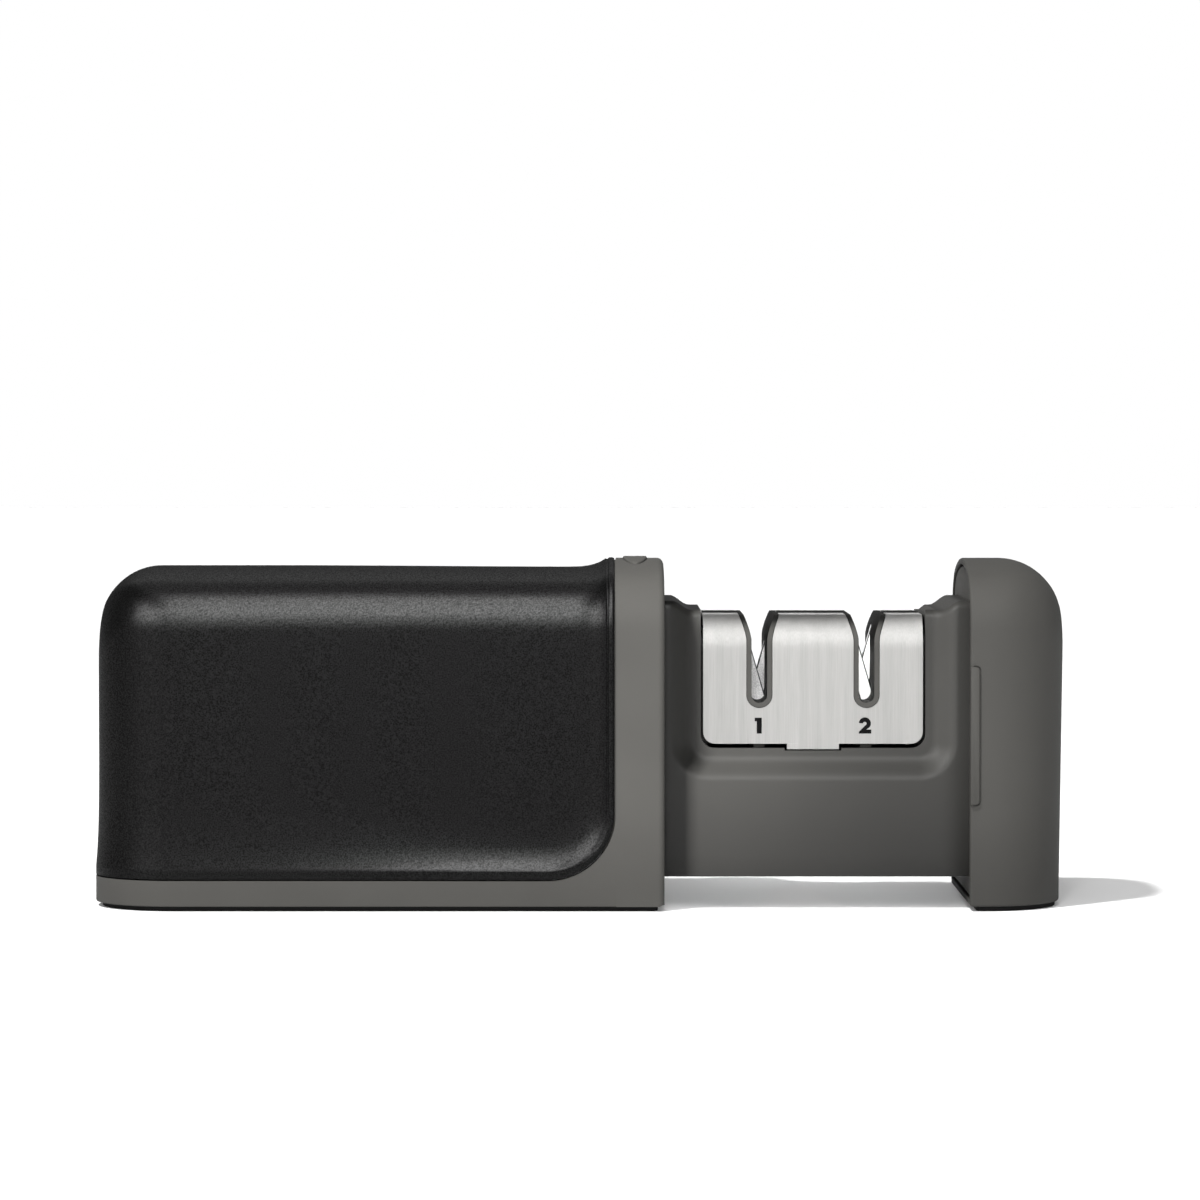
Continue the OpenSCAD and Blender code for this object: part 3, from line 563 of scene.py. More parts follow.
def pull_lip(left, inset):
    """Front view of the pull lip, drawn in by inset, from that far right of the cap's rim."""
    r = LIP_W / 2 - 0.1 - inset * 0.5
    x0, x1 = X_CAP + left, X_CAP + LIP_W - inset
    z0, z1 = LIP_Z0 + inset, LIP_Z1 - inset
    lower = arc(x1 - r, z0 + r, r, 270, 360, 6)
    upper = arc(x1 - r, z1 - r, r, 0, 90, 6)
    return [(x0, z0)] + lower + upper + [(x0, z1)]


def make_cap():
    """The cap's shell with its leaning outer end, and a pull lip in a grooved pocket on both sides."""
    edge = 0.45  # round outside the rim
    foot = 0.5  # round along the foot
    chamfer = 0.15  # inside the rim
    seat_depth = 2.85  # from the rim to the flange's back
    stand_out = 0.17  # of the outer end
    rings = []

    def rim(x, inset):
        rows = half_arch(DEPTH / 2 - inset, PAD_PROUD + inset, HEIGHT - inset, ARCH_R - inset, foot)
        rings.append(ring(x, rows))

    rim(X_CAP + seat_depth, CAP_RIM)
    rim(X_CAP + chamfer, CAP_RIM)
    rim(X_CAP, CAP_RIM - chamfer)
    for b in quarter(5):
        rim(X_CAP + edge * (1 - math.cos(b)), edge * (1 - math.sin(b)))
    stations = spread(X_TIP - X_CAP - edge - 0.3, END_PLAN_R, 2)
    stations += [END_PLAN_R * (1 - math.cos(b)) for b in spread(math.pi / 2, 0, 22)[1:]]
    for d in stations:
        rows, nx = cap_section(d, foot)
        pull = 1 - d / (X_TIP - X_CAP)
        rings.append([(x + pull * (stand_out + math.tan(CAP_LEAN) * (z - HEIGHT + END_SIDE_R)), y, z)
                      for x, y, z in ring(X_TIP - d, rows, nx)])
    cap = piece("end_cap_shell", "module", "module_grey", *loft(rings), ["end_cap"])
    lips = []
    for side in (-1, 1):
        cut(cap, prism(pull_lip(LIP_POCKET_LEFT, -LIP_GROOVE), *(side * y for y in LIP_POCKET)))
        lips.append(stack([[(x, side * y, z) for x, z in pull_lip(LIP_LEFT + inset, inset)]
                           for y, inset in LIP_ROUNDS]))
    piece("pull_lips", "module", "module_grey", *join(*lips))


# Handle frame

def make_frame():
    """Collar with its tunnel, base band, the corners between them, and a well for the button."""
    groove_w = 0.26  # groove along the seam
    groove_depth = 0.35
    foot = 0.25  # round along the band's foot
    corner_t = 2.4  # thickness of the corners
    rings = []

    def outer(x, inset):
        low = PAD_PROUD + min(inset, 0.3)
        rings.append(ring(x, half_arch(DEPTH / 2 - inset, low, HEIGHT - inset, ARCH_R - inset)))

    def tunnel(x, grow):
        rows = half_arch(TUNNEL_HW + grow, BAND_TOP + 0.1 - grow, TUNNEL_TOP + grow,
                         TUNNEL_R + grow, crown=FLAT_R)
        rings.append(ring(x, rows))

    tunnel(X_STEP, 0)
    outer(X_STEP, CORE_INSET)
    outer(X_SEAM - groove_w, CORE_INSET)
    outer(X_SEAM - groove_w, groove_depth)
    outer(X_SEAM, groove_depth)
    outer(X_SEAM, 0)
    outer(X_FACE - COLLAR_EDGE - 3, 0)
    for b in reversed(quarter(8)):
        outer(X_FACE - COLLAR_EDGE * (1 - math.cos(b)), COLLAR_EDGE * (1 - math.sin(b)))
    for behind, grow in ((0, 0.3), (0.1, 0.1), (0.3, 0)):
        tunnel(X_FACE - behind, grow)
    shells = [loft(rings, ends=False)]

    def plan(z, inset):
        hw, r = DEPTH / 2 - inset, END_PLAN_R - inset
        flat = [(X_SEAM, hw)] + arc(X_END + inset + r, hw - r, r, 90, 180, 20)
        flat += arc(X_END + inset + r, r - hw, r, 180, 270, 20) + [(X_SEAM, -hw)]
        return [(x, y, z) for x, y in flat]

    band = [plan(PAD_PROUD + foot * (1 - math.cos(b)), foot * (1 - math.sin(b))) for b in quarter(5)]
    shells.append(stack(band + [plan(BAND_TOP, 0)]))
    corner = [(X_SEAM, BAND_TOP)] + arc(X_SEAM - SEAM_R, BAND_TOP + SEAM_R, SEAM_R, 0, -90, 28)
    for side in (-1, 1):
        shells.append(prism(corner, side * DEPTH / 2, side * (DEPTH / 2 - corner_t)))
    shell = piece("handle_frame_shell", "handle", "frame_grey", *join(*shells), ["handle_frame"])
    half_w, half_len = BUTTON_W / 2 + BUTTON_GAP, BUTTON_LEN / 2 + BUTTON_GAP
    well = [(BUTTON_X + half_w * math.cos(b), half_len * math.sin(b))
            for b in spread(0, 2 * math.pi, OVAL_STEPS)[:-1]]
    cut(shell, stack([[(x, y, z) for x, y in well] for z in (TUNNEL_TOP - 2, HEIGHT + 2)]))


# Grip: matt skin that flares out to a rolled lip along its seam

SKIN_T = 1.0  # thickness behind its plain surface
SEAM_GAP = 0.28  # gap between the skin and the seam
TAPER_START = -78  # where the sides start to draw in
TAPER_LEN = 68
NEAR_START = -60  # where the lip starts to rise
NEAR_LEN = 50
LIP_ROLL = 1.2  # width of the rolled lip
LIP_RISE = 0.22  # height of its roll
LIP_SINK = 0.05  # its edges below the flare
CREASE_W = 0.5  # crease behind the lip
CREASE_DEPTH = 0.14
CREASE_MID = 0.08  # its deepest line, behind the lip
CREASE_SPAN = 0.84  # width of its whole curve
FLARE_START = 0.4  # where the flare starts, behind the lip
FLARE_RISE = 0.2  # its height past the collar
FLARE_POWER = 4.2  # how fast it falls off
FAR_FLARE = 2.9  # how much wider it is at the far end
CROWN_DIP = 0.26  # dip of the crown towards the collar
DIP_LEN = 55  # over this length, up to x = 0
# Distances from the seam at which the skin has points
SEAM_STEPS = (0, 0.06, 0.14, 0.24, 0.36, 0.48, 0.6, 0.72, 0.82, 0.9, 0.98,
              1.08, 1.2, 1.35, 1.6, 2, 2.5, 3.2, 4, 5, 6)


def seam_distance(x, z):
    """Distance of a place in the front view from the seam, which turns a round corner."""
    u, v = X_SEAM - x, z - BAND_TOP
    if u < SEAM_R and v < SEAM_R:
        return SEAM_R - math.hypot(SEAM_R - u, SEAM_R - v)
    return min(u, v)


def grip_inset(x):
    """How far the grip's plain sides stand back from the band, less towards the far end."""
    return GRIP_TIP + (GRIP_INSET - GRIP_TIP) * eased((x - TAPER_START) / TAPER_LEN)


def grip_offset(x, z):
    """How far the skin stands out of the grip's plain surface: a flare and a rolled lip along the seam."""
    d = max(0.0, seam_distance(x, z) - SEAM_GAP)
    near = eased((x - NEAR_START) / NEAR_LEN)
    upright = (z - BAND_TOP) / (X_SEAM + z - BAND_TOP - x + 0.1)
    roll = near * eased(upright * 2 - 0.5)
    width = FLARE_W * (FAR_FLARE - (FAR_FLARE - 1) * near)
    fall = min(1.0, max(0.0, d - LIP_ROLL - FLARE_START) / width)
    out = (grip_inset(x) + FLARE_RISE * near) * (1 - fall) ** FLARE_POWER
    if d < LIP_ROLL:
        out += roll * (LIP_RISE * math.sqrt(max(0.0, 1 - (2 * d / LIP_ROLL - 1) ** 2)) - LIP_SINK)
    elif d < LIP_ROLL + CREASE_W:
        out -= roll * CREASE_DEPTH * math.cos(math.pi * (d - LIP_ROLL - CREASE_MID) / CREASE_SPAN) ** 2
    return out


def grip_rows(hw, top, base):
    """Half a section of the plain surface, from its lower edge to its crown: (y, z, outward y, z)."""
    r = min(ARCH_R - GRIP_INSET, hw - 3)
    crown_r, crown_z, arch_z, meet = crown_arch(hw, top, r)
    rows = [(hw, base + step, 1, 0) for step in SEAM_STEPS]
    rows += [(hw, z, 1, 0) for z in spread(base + SEAM_STEPS[-1], arch_z, 12)[1:]]
    for b in spread(0, meet, 14)[1:]:
        ny, nz = math.cos(b), math.sin(b)
        rows.append((hw - r + r * ny, arch_z + r * nz, ny, nz))
    for b in spread(meet, math.pi / 2, 12)[1:]:
        rows.append((crown_r * math.cos(b), crown_z + crown_r * math.sin(b), math.cos(b), math.sin(b)))
    return rows


def make_grip():
    """The skin from the round far end to the collar, open below, with its edges closed."""
    tip = X_END + GRIP_TIP
    plan_r = END_PLAN_R - GRIP_TIP
    x_corner = X_SEAM - SEAM_R
    reach = SEAM_R - SEAM_GAP
    stations = [tip + plan_r * (1 - math.cos(b)) for b in spread(0, math.pi / 2, 24)]
    stations += spread(tip + plan_r, x_corner - 2, 10)[1:] + spread(x_corner - 2, X_SEAM - 6.5, 14)[1:]
    stations += [X_SEAM - SEAM_GAP - step for step in reversed(SEAM_STEPS)]
    outer, inner = [], []
    for x in stations:
        d = x - tip
        hw = DEPTH / 2 - grip_inset(x) - drawn_in(d, plan_r)
        top = HEIGHT - GRIP_INSET - drawn_in(d, END_SIDE_R - GRIP_INSET)
        top -= CROWN_DIP * eased((x + DIP_LEN) / DIP_LEN)
        base = BAND_TOP + SEAM_GAP
        if x > x_corner:
            base = BAND_TOP + SEAM_R - math.sqrt(max(0.0, reach ** 2 - min(reach, x - x_corner) ** 2))
        nx = max(0.0, 1 - d / plan_r)
        across = math.sqrt(1 - nx * nx)
        rows = grip_rows(hw, top, base)
        for sheet, outside in ((outer, True), (inner, False)):
            half = []
            for y, z, ny, nz in rows:
                out = grip_offset(x, z) if outside else -SKIN_T
                half.append((x - out * nx * (1 if ny > 0.999 else ny), y + out * ny * across, z + out * nz))
            sheet.append(half + [(px, -y, z) for px, y, z in half[-2::-1]])
    n = len(outer[0])
    faces = []
    for i in range(len(outer) - 1):
        a, b = i * n, (i + 1) * n
        faces += [(a + j, a + j + 1, b + j + 1, b + j) for j in range(n - 1)]
    mid = n // 2
    faces += [(j, j + 1, n - 2 - j, n - 1 - j) for j in range(mid - 1)] + [(mid - 1, mid, mid + 1)]
    verts, faces = thicken([p for r in outer for p in r], [p for r in inner for p in r], faces)
    return piece("grip_cover", "handle", "grip_soft_touch", verts, faces, ["grip_skin"], 50)


# Release button: a low oval that follows the crown

# Rows of the button from its foot to its middle: scale of the oval, drop below the top, height if flat
BUTTON_ROWS = ((1, 0, 56.3), (1, 0.35, None), (0.97, 0.16, None), (0.92, 0.05, None),
               (0.85, 0, None), (0.6, 0, None), (0.3, 0, None), (0.04, 0, None))
FACE_SCALE = 0.85  # oval inside the rounded edge: scale and share of the length
FACE_LEN = 0.96


def make_button():
    """An oval block whose top follows the collar's crown, with a rounded edge."""
    outlines = []
    crown = HEIGHT - CROWN_R
    for scale, drop, flat in BUTTON_ROWS:
        inset = (1 - scale) * BUTTON_W / 2
        line = []
        for k in range(OVAL_STEPS):
            b = 2 * math.pi * k / OVAL_STEPS
            px, py = (BUTTON_W / 2 - inset) * math.cos(b), (BUTTON_LEN / 2 - inset) * math.sin(b)
            if scale < FACE_SCALE:
                py = BUTTON_LEN / 2 * FACE_LEN * scale / FACE_SCALE * math.sin(b)
            z = flat or crown + math.sqrt(CROWN_R ** 2 - py * py) + BUTTON_PROUD - drop
            line.append((BUTTON_X + px, py, z))
        outlines.append(line)
    piece("button_oval", "button", "frame_grey", *stack(outlines), ["release_button"])


# Steel cover: one sheet bent over the saddle, cut by both slots

TAB_BAND = 2  # the tab's place among the sheet's five bands


def slot_half_width(z):
    """Half the width of a slot at a height: round foot, straight sides, flared mouth."""
    r = SLOT_W / 2
    foot_z = COVER_TOP - SLOT_DEPTH + r
    if z <= foot_z - r:
        return 0.0
    if z < foot_z:
        return math.sqrt(r * r - (foot_z - z) ** 2)
    flare_z = COVER_TOP - FLARE_H
    if z < flare_z:
        return r
    return r + (SLOT_MOUTH / 2 - r) * min(1.0, (z - flare_z) / FLARE_H) ** 1.4


def slot_outline(x, inset, above):
    """Front view of a slot drawn in by inset, from its upper left round its foot to its upper right."""
    r = SLOT_W / 2 - inset
    foot_z = COVER_TOP - SLOT_DEPTH + SLOT_W / 2
    right = [(x + r * math.sin(b), foot_z - r * math.cos(b)) for b in spread(0, math.pi / 2, 14)]
    for z in spread(COVER_TOP - FLARE_H, COVER_TOP, 12) + [COVER_TOP + above]:
        right.append((x + slot_half_width(z) - inset, z))
    return [(2 * x - px, z) for px, z in reversed(right[1:])] + right


def slot_cutters(inset):
    """Both slots, drawn in by inset, as shells that reach through the whole part."""
    return [prism(slot_outline(x, inset, PAST_TOP), -PAST_SIDE, PAST_SIDE) for x in SLOT_X]


def sheet_levels(base, tab_base, corner_r):
    """Heights at which the sheet's upright sides have points."""
    r = SLOT_W / 2
    foot_z = COVER_TOP - SLOT_DEPTH + r
    levels = [tab_base, base]
    levels += [base + corner_r * (1 - math.cos(b)) for b in spread(0, math.pi / 2, 8)]
    levels += [foot_z - r * math.cos(b) for b in spread(0, math.pi / 2, 12)]
    levels += spread(base + corner_r, foot_z - r, 3) + spread(foot_z, COVER_TOP - FLARE_H, 4)
    return sorted({round(z, 5) for z in levels})


def sheet_path(levels):
    """Section of the sheet from its front edge over both bends to its back edge: (y, z, outward y, z)."""
    bend_z = COVER_TOP - BEND_RISE
    path = [(-SEAT_HW, z, -1, 0) for z in levels if z < bend_z - 0.01]
    for b in spread(0, math.pi / 2, 18):
        slope = math.atan2(math.sin(b) / BEND_RISE, math.cos(b) / BEND_R)
        path.append((-SEAT_HW + BEND_R * (1 - math.cos(b)), bend_z + BEND_RISE * math.sin(b),
                     -math.cos(slope), math.sin(slope)))
    path += [(y, COVER_TOP, 0, 1) for y in spread(-SEAT_HW + BEND_R, 0, 4)[1:]]
    return path + [(-y, z, -ny, nz) for y, z, ny, nz in path[-2::-1]]


def close_sheet(outer, inner, faces):
    """Joins the sheet's bands where they meet, closes it and leaves out loose points."""
    first, where = {}, []
    for i, p in enumerate(outer):
        where.append(first.setdefault(tuple(round(c, 4) for c in p), i))
    verts, faces = thicken(outer, inner, [tuple(where[i] for i in f) for f in faces])
    used = sorted({i for f in faces for i in f})
    at = {old: new for new, old in enumerate(used)}
    return [verts[i] for i in used], [tuple(at[i] for i in f) for f in faces]


def bent_sheet(beside, below, outward, inward, slots=False):
    """The cover's sheet with its edges moved out beside and below, between two offsets of its face."""
    base = COVER_BASE - below
    tab_base = COVER_BASE - TAB_H - min(below, 0.25)
    corner_r = COVER_R + beside
    tab = TAB_W / 2 + beside
    outer, inner, faces = [], [], []
    previous = None
    for y, z, ny, nz in sheet_path(sheet_levels(base, tab_base, corner_r)):
        w = slot_half_width(z) if slots else 0.0
        draw = drawn_in(z - base, corner_r) if z >= base else 0.0
        x0, x1 = X_MID - COVER_W / 2 - beside + draw, X_MID + COVER_W / 2 + beside - draw
        bands = [(x0, SLOT_X[0] - w, 6), (SLOT_X[0] + w, X_MID - tab, 3), (X_MID - tab, X_MID + tab, 4),
                 (X_MID + tab, SLOT_X[1] - w, 3), (SLOT_X[1] + w, x1, 6)]
        row = []
        for place, (left, right, n) in enumerate(bands):
            if z < base - 1e-6 and place != TAB_BAND:
                row.append(None)
                continue
            row.append((len(outer), n))
            for x in spread(left, right, n):
                outer.append((x, y + outward * ny, z + outward * nz))
                inner.append((x, y - inward * ny, z - inward * nz))
        if previous:
            for low, high in zip(previous, row):
                if low and high:
                    a, b = low[0], high[0]
                    faces += [(a + k, a + k + 1, b + k + 1, b + k) for k in range(low[1])]
        previous = row
    return close_sheet(outer, inner, faces)


def make_cover():
    """The steel cover."""
    sheet = bent_sheet(0, 0, 0, SHEET_T, slots=True)
    cover = piece("cover_sheet", "module", "steel_sheet", *sheet, ["steel_cover"])
    soften(cover, 0.1)
    return cover


def make_spine():
    """Low rib of the holder along the top of the cover."""
    half_len = COVER_W / 2 - 0.1
    hw = 3.5
    chamfer = 0.1
    z0, z1 = COVER_TOP - SHEET_T, COVER_TOP + 0.2
    right = [(hw, z0), (hw, z1 - chamfer), (hw - chamfer, z1)]
    rib = [(-hw, z0)] + right + [(chamfer - hw, z1), (-hw, z1 - chamfer)]
    spine = piece("holder_spine", "module", "liner_grey",
                  *stack([[(X_MID + x, y, z) for y, z in rib] for x in (-half_len, half_len)]))
    cut(spine, *slot_cutters(0))


# Slot liners and the holder halves that carry them

LINER_OUT = 0.1  # a liner's outside and inside, from the slot's edge
LINER_IN = 0.95
PART_GAP = 0.05  # half the gap between the holder's halves
BLOCK_HW = 14.7  # holder block under the cover
BLOCK_LEN = 38.4


def make_holders():
    """For each side the liners of both slots, trimmed to the cover's face, and the block behind them."""
    over_cover = bent_sheet(3, 3, 6, 0.05)
    for side, name, node in ((-1, "liners_front", "holder_front"), (1, "liners_back", "holder_back")):
        shells = []
        for x in SLOT_X:
            outline = slot_outline(x, LINER_OUT, 1) + slot_outline(x, LINER_IN, 1)[::-1]
            shells.append(prism(outline, side * PART_GAP, side * (SEAT_HW + 1)))
        liners = piece(name, "module", "liner_grey", *join(*shells), [node], 30)
        cut(liners, over_cover)
        soften(liners, 0.1)
        rows = half_arch(BLOCK_HW, COVER_BASE, COVER_TOP - SHEET_T - 0.05, 3, crown=FLAT_R)
        block = piece(name.replace("liners", "holder_block"), "module", "liner_grey",
                      *loft([ring(x, rows) for x in (X_MID - BLOCK_LEN / 2, X_MID + BLOCK_LEN / 2)]))
        other_half = prism([(0, 0), (80, 0), (80, 80), (0, 80)], side * -30, side * PART_GAP)
        cut(block, other_half, *slot_cutters(0.5))


# Carrier: moulding with a saddle-shaped recess round the steel cover

CREST_EDGE = 1.5  # round between the crest and the flanks
WALL = 2.2  # thickness of the walls
CAVITY_HW = 14.8  # cavity for the holder
CAVITY_LEN = 38.8
BULKHEAD = 2.0  # walls at both ends of the cavity
FLOOR_TOP = 8.0  # top of the closing plate
FLOOR_HW = 17.3  # opening for the closing plate
OVER_TOP = 60  # a height above the whole carrier


def saddle_depth(x, z):
    """How deep the saddle is sunk into the flank at a place in the front view."""
    dx = SADDLE_LEN / 2 - abs(x - X_MID)
    dz = z - (CARRIER_TOP - SADDLE_H)
    if dx <= 0 or dz <= 0:
        return 0.0
    d = min(dx, dz)
    if dx < SADDLE_R and dz < SADDLE_R:
        d = SADDLE_R - math.hypot(SADDLE_R - dx, SADDLE_R - dz)
    return SADDLE_DEPTH * eased(d / SADDLE_SLOPE)


def carrier_crest(x):
    """Height of the carrier's crest: a ramp at the shoulder, then the saddle."""
    if x < SHOULDER_X:
        return CARRIER_TOP - SADDLE_DROP * min(1.0, (SHOULDER_X - x) / SADDLE_DROP)
    inside = SADDLE_LEN / 2 - abs(x - X_MID - 0.55)
    return CARRIER_TOP - (SADDLE_DROP - 0.25) * eased(inside / CREST_SLOPE)


def carrier_cutters(saddle_left):
    """Seat of the cover, slots, cavity, hollows, opening below, and a relief beside the cover."""
    x_window = X_MID - CAVITY_LEN / 2
    x_behind = x_window + CAVITY_LEN
    low = FLOOR_TOP - 1
    roof = CARRIER_TOP - SADDLE_DROP - WALL
    relief_z = COVER_TOP + 0.05
    relief = [(64, relief_z), (64.9, relief_z), (65.9, COVER_TOP + 0.9), (65.9, OVER_TOP), (64, OVER_TOP)]
    return [
        bent_sheet(0.45, 0.8, 3.2, SHEET_T + 2.4),
        *slot_cutters(0),
        box(x_window, x_behind, CAVITY_HW, low, OVER_TOP),
        box(X_TAIL - 1, saddle_left - 1, CARRIER_HW - WALL, low, roof),
        box(saddle_left - 2, x_window - BULKHEAD, CAVITY_HW, low, roof),
        box(x_behind + BULKHEAD, FLANGE_X0, CAVITY_HW, low, roof),
        box(X_TAIL - 1, FLANGE_X0, FLOOR_HW, BELLY - 1, FLOOR_TOP),
        prism(relief, -14, 30),
    ]


def make_carrier():
    """The carrier's moulding, drawn in a little beside the cap."""
    left, right = X_MID - SADDLE_LEN / 2, X_MID + SADDLE_LEN / 2
    z_low = CARRIER_TOP - SADDLE_H
    fine = 7.2  # width of close points along the saddle's edge
    taper = 0.9  # how far the flanks draw in beside the cap
    taper_len = 5.5
    stations = [X_TAIL] + spread(-15, SHOULDER_X - SADDLE_DROP, 6) + spread(SHOULDER_X, left - 0.4, 3)
    stations += spread(left, left + fine, 24) + spread(left + 8.5, right - 8.5, 14)
    stations += spread(right - fine, right, 24) + spread(right + 0.4, FLANGE_X0 + 0.5, 6)
    fronts = [BELLY + 0.4, BELLY + 4] + spread(BELLY + 8, z_low - 0.4, 3) + spread(z_low, z_low + fine, 24)
    rings = []
    for x in stations:
        top = carrier_crest(x)
        side = CARRIER_HW - taper * (max(0.0, x - right + 3) / taper_len) ** 2
        hw = side - saddle_depth(x, top)
        rows = [(f * (side - 0.4), BELLY, 0) for f in (0, 0.5, 1)] + [(side - 0.12, BELLY + 0.12, 0)]
        heights = fronts + spread(z_low + 9, top - CREST_EDGE, 9)
        rows += [(side - saddle_depth(x, z), z, 0) for z in heights]
        for b in spread(0, math.pi / 2, 8)[1:]:
            rows.append((hw - CREST_EDGE * (1 - math.cos(b)), top - CREST_EDGE * (1 - math.sin(b)), 0))
        rows += [(y, top, 0) for y in spread(hw - CREST_EDGE, 0, 4)[1:]]
        rings.append(ring(x, rows))
    carrier = piece("carrier_moulding", "module", "module_grey", *loft(rings), ["carrier"], 30)
    cut(carrier, *carrier_cutters(left))
    soften(carrier, 0.12)
    # material with painted light falling off towards the cap and painted shade towards the underside
    carrier.data.materials[0] = CARRIER_GREY
    return carrier


def make_flange():
    """Flange of the carrier that closes the end cap, with a small round."""
    rings = []
    for x, inset in ((FLANGE_X0, 0.25), (FLANGE_X0 + 0.08, 0.08), (FLANGE_X0 + 0.25, 0), (FLANGE_X1, 0)):
        i = FLANGE_INSET + inset
        rings.append(ring(x, half_arch(DEPTH / 2 - i, PAD_PROUD + i, HEIGHT - i, ARCH_R - i, 0.5)))
    piece("carrier_flange", "module", "module_grey", *loft(rings))


# Numerals below the slots

NUMERAL_Z = 32.3  # their foot
NUMERAL_H = 2.93


def make_numeral(name, left, outline):
    """A printed numeral: its outline as a thin layer on the steel."""
    flat = [(left + x, NUMERAL_Z + z) for x, z in outline]
    mark = piece(name, "module", "grip_soft_touch", *prism(flat, -SEAT_HW - 0.03, -SEAT_HW + 0.05))
    mark.data.materials[0] = INK


def numeral_one():
    """A stem with a short flag."""
    width, stem, flag = 1.3, 0.38, 2.26
    return [(0, NUMERAL_H), (width, NUMERAL_H), (width, 0), (stem, 0), (stem, flag), (0, flag)]


def numeral_two():
    """A bow that runs down into a bar."""
    bow = (1.12, 1.87)
    outer = arc(*bow, 1.12, 176, -40, 22)
    inner = arc(*bow, 0.32, -48, 176, 16)
    width, bar = 2.32, 0.74
    return outer + [(1.4, bar), (width, bar), (width, 0), (0.0, 0), (0.0, 0.32)] + inner


# Pieces

EDGES = {"handle_pad": 0.3, "cap_pad": 0.3, "coarse_plate_front": 0.2,
         "coarse_plate_back": 0.2, "fine_plate_front": 0.2, "fine_plate_back": 0.2}


def dress(name, slot, edge):
    """A CAD node with its material, and softened edges of that width in millimetres."""
    obj = nodes[name]
    obj.data.materials.clear()
    obj.data.materials.append(MATERIALS[slot])
    smooth(obj.data, 28)
    if edge:
        obj.modifiers.new("weld_corners", "WELD").merge_threshold = MERGE * MM
        flat = obj.modifiers.new("merge_flat_faces", "DECIMATE")
        flat.decimate_type = "DISSOLVE"
        flat.angle_limit = math.radians(0.4)
        soften(obj, edge, 32, 3)
    # the plates' edge rounds get the dark material of painted shade lines
    if "plate" in name:
        obj.data.materials.append(PLATE_EDGE_SHADE)
        obj.modifiers["soft_edges"].material = 1


for part in frame["record"]["subparts"]:
    dress(part["node"], part["material_slot"], EDGES.get(part["node"], 0.0))
make_cap()
make_frame()
grip = make_grip()
make_button()
cover = make_cover()
make_spine()
make_holders()
carrier = make_carrier()
make_flange()
make_numeral("numeral_1", SLOT_X[0] - 0.87, numeral_one())
make_numeral("numeral_2", SLOT_X[1] - 1.44, numeral_two())


# Stage

AIM = (0, 0, 0.05)  # what most panels face, in metres


def make_floor():
    """Pale floor that is white to the camera and keeps the object's shadow."""
    half = 6.0
    mesh = bpy.data.meshes.new("floor")
    corners = [(-half, -half, 0), (half, -half, 0), (half, half, 0), (-half, half, 0)]
    mesh.from_pydata(corners, [], [(0, 1, 2, 3)])
    floor = bpy.data.objects.new("floor", mesh)
    scene.collection.objects.link(floor)
    mat, tree, bsdf = new_material("floor_white")
    bsdf.inputs["Base Color"].default_value = (0.62, 0.62, 0.62, 1)
    bsdf.inputs["Roughness"].default_value = 0.9
    bsdf.inputs["Specular IOR Level"].default_value = 0.0
    path = add(tree, "ShaderNodeLightPath")
    glow = add(tree, "ShaderNodeMath", operation="MULTIPLY")
    glow.inputs[1].default_value = 0.14
    tree.links.new(path.outputs["Is Camera Ray"], glow.inputs[0])
    bsdf.inputs["Emission Color"].default_value = (1, 1, 1, 1)
    tree.links.new(glow.outputs[0], bsdf.inputs["Emission Strength"])
    mesh.materials.append(mat)
    return floor


def make_world():
    """White to the camera, dim in reflections, dimmer still as light, and darker overhead."""
    world = bpy.data.worlds.new("studio")
    scene.world = world
    world.use_nodes = True
    tree = world.node_tree
    back = tree.nodes["Background"]
    coords = add(tree, "ShaderNodeTexCoord")
    split = add(tree, "ShaderNodeSeparateXYZ")
    tree.links.new(coords.outputs["Generated"], split.inputs["Vector"])
    tree.links.new(ramp(tree, split.outputs["Z"], 1.0, 0.3, (0.35, 0.75)), back.inputs["Color"])
    path = add(tree, "ShaderNodeLightPath")
    level = add(tree, "ShaderNodeMix")
    tree.links.new(path.outputs["Is Glossy Ray"], level.inputs["Factor"])
    full = add(tree, "ShaderNodeMix")
    tree.links.new(path.outputs["Is Camera Ray"], full.inputs["Factor"])
    level.inputs["A"].default_value = 0.16
    level.inputs["B"].default_value = 0.28
    tree.links.new(level.outputs["Result"], full.inputs["A"])
    full.inputs["B"].default_value = 1.0
    tree.links.new(full.outputs["Result"], back.inputs["Strength"])


def light_group(name, *members, leave_out=False):
    """Pieces that a light reaches, or the only ones that it leaves out."""
    group = bpy.data.collections.new(name)
    for obj in members:
        group.objects.link(obj)
    for entry in group.collection_objects:
        entry.light_linking.link_state = "EXCLUDE" if leave_out else "INCLUDE"
    return group


def add_lamp(name, data, way, only):
    """A lamp that shines along a direction, on one light group."""
    lamp = bpy.data.objects.new(name, data)
    lamp.rotation_euler = Vector(way).to_track_quat("-Z", "Y").to_euler()
    lamp.light_linking.receiver_collection = only
    scene.collection.objects.link(lamp)
    return lamp


def area_light(name, place, target, size, power, only, mirrored=True, lighting=True, spread_deg=180):
    """A panel for one light group; it can be left out of reflections or of shading, or narrowed."""
    data = bpy.data.lights.new(name, "AREA")
    data.shape = "RECTANGLE"
    data.size, data.size_y = size
    data.energy = power
    data.spread = math.radians(spread_deg)
    lamp = add_lamp(name, data, Vector(target) - Vector(place), only)
    lamp.location = place
    lamp.visible_camera = False
    lamp.visible_glossy = mirrored
    lamp.visible_diffuse = lighting


def key_light(way, power, angle_deg, only):
    """Main light from the upper left, with fairly crisp shadows."""
    data = bpy.data.lights.new("key", "SUN")
    data.energy = power
    data.angle = math.radians(angle_deg)
    add_lamp("key", data, way, only).visible_glossy = False


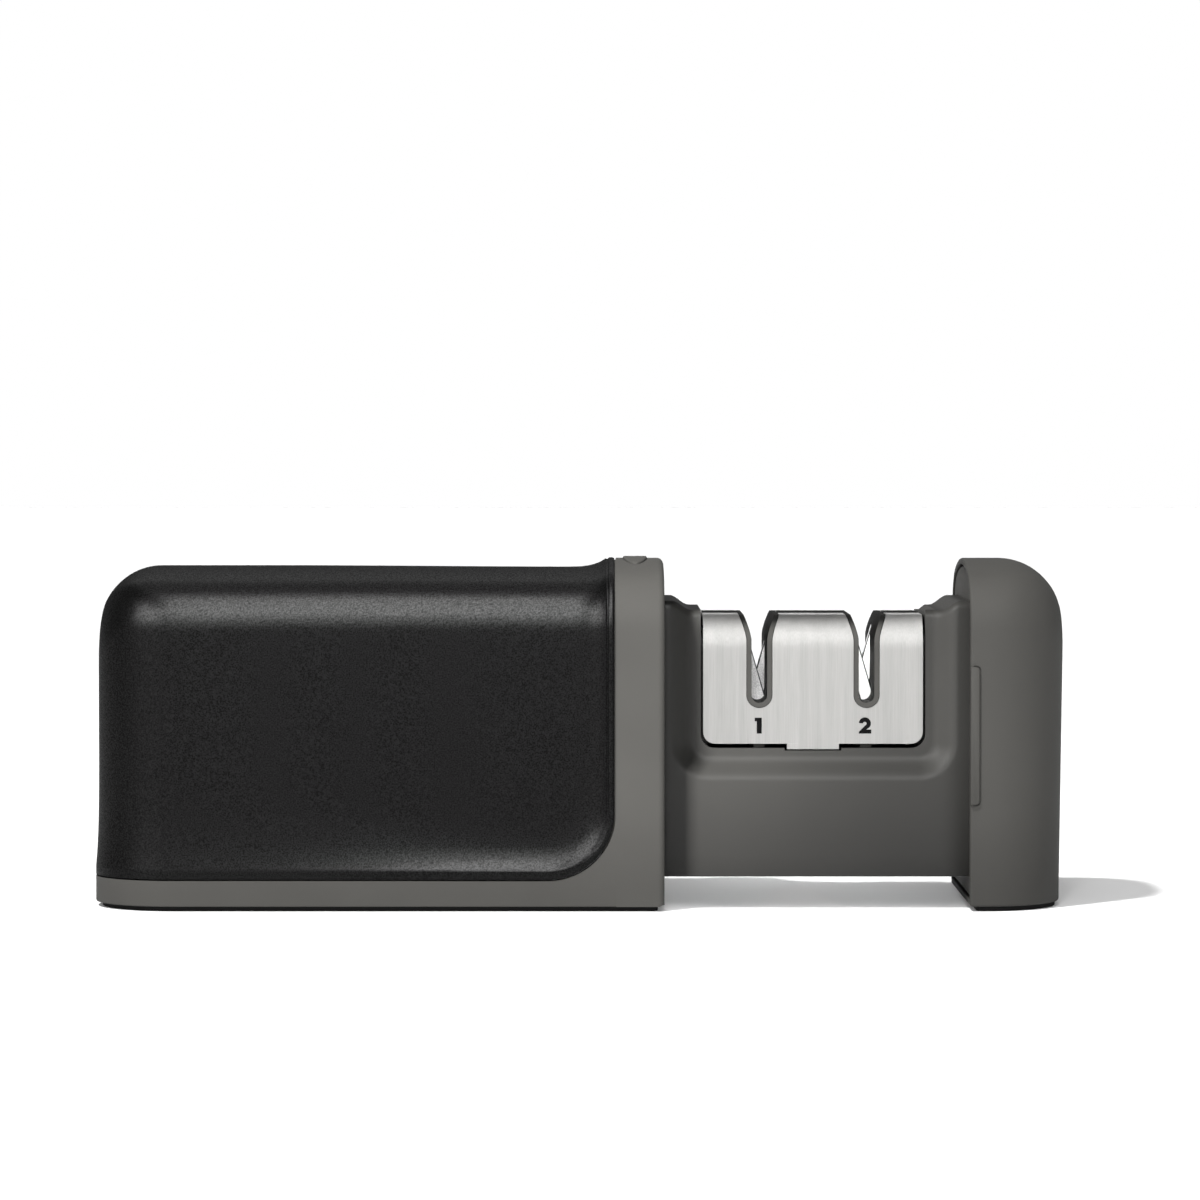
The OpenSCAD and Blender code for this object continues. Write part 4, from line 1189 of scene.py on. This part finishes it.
def make_camera():
    """The photograph's view: almost level, slightly above."""
    data = bpy.data.cameras.new("camera")
    data.sensor_width = 36.0
    data.lens = 152.5
    camera = bpy.data.objects.new("camera", data)
    camera.location = Vector((3.95, -955.0, 85.6)) * MM
    target = Vector((3.95, -25.0, 57.23)) * MM
    camera.rotation_euler = (target - camera.location).to_track_quat("-Z", "Y").to_euler()
    scene.collection.objects.link(camera)
    scene.camera = camera


def make_lights(floor):
    """The key and the panels, some for one piece only."""
    only_grip = light_group("only_grip", grip)
    only_steel = light_group("only_steel", cover)
    only_floor = light_group("only_floor", floor)
    only_carrier = light_group("only_carrier", carrier)
    no_carrier = light_group("no_carrier", carrier, leave_out=True)
    key_light((0.404, 0.46, -1.0), 5.0, 4.0, no_carrier)
    box_place, box_size = (-0.04, -1.46, 0.93), (0.36, 1.17)
    area_light("softbox", box_place, AIM, box_size, 24.0, no_carrier)
    area_light("carrier_box", box_place, AIM, box_size, 24.0, only_carrier, lighting=False)
    area_light("carrier_side", (-1.2, -0.95, 0.95), AIM, (0.8, 0.8), 30.0, only_carrier, lighting=False)
    area_light("left_fill", (-1.15, -1.15, 0.75), (0, 0, 0.04), (0.4, 0.4), 142.0, only_carrier,
               mirrored=False)
    area_light("grip_box", (-0.06, -0.99, 1.5), AIM, (0.5, 1.5), 55.0, only_grip, lighting=False)
    area_light("side_box", (-1.07, -1.07, 0.92), AIM, (1.2, 1.0), 70.0, only_grip, lighting=False)
    area_light("top_panel", (0.0, 0.6, 1.35), AIM, (1.6, 2.2), 11.0, only_grip, lighting=False)
    area_light("back_strip", (0.22, 1.5, 0.27), (0.04, 0, 0.05), (0.4, 0.36), 3.0, only_steel,
               lighting=False)
    area_light("floor_glow", (0.042, 0.5, 0.06), (0.042, 0, 0), (0.05, 0.03), 0.02, only_floor,
               mirrored=False, spread_deg=8)
    area_light("back_panel", (0.0, 1.3, 0.8), AIM, (1.6, 0.4), 0.4, no_carrier)
    area_light("overhead", (-0.04, -0.55, 1.4), AIM, (0.5, 0.7), 5.0, no_carrier)
    area_light("front_fill", (0.045, -1.4, 0.09), (0.03, 0, 0.04), (0.15, 0.15), 12.5, no_carrier,
               mirrored=False)


make_camera()
make_world()
make_lights(make_floor())
scene.view_settings.view_transform = "Standard"
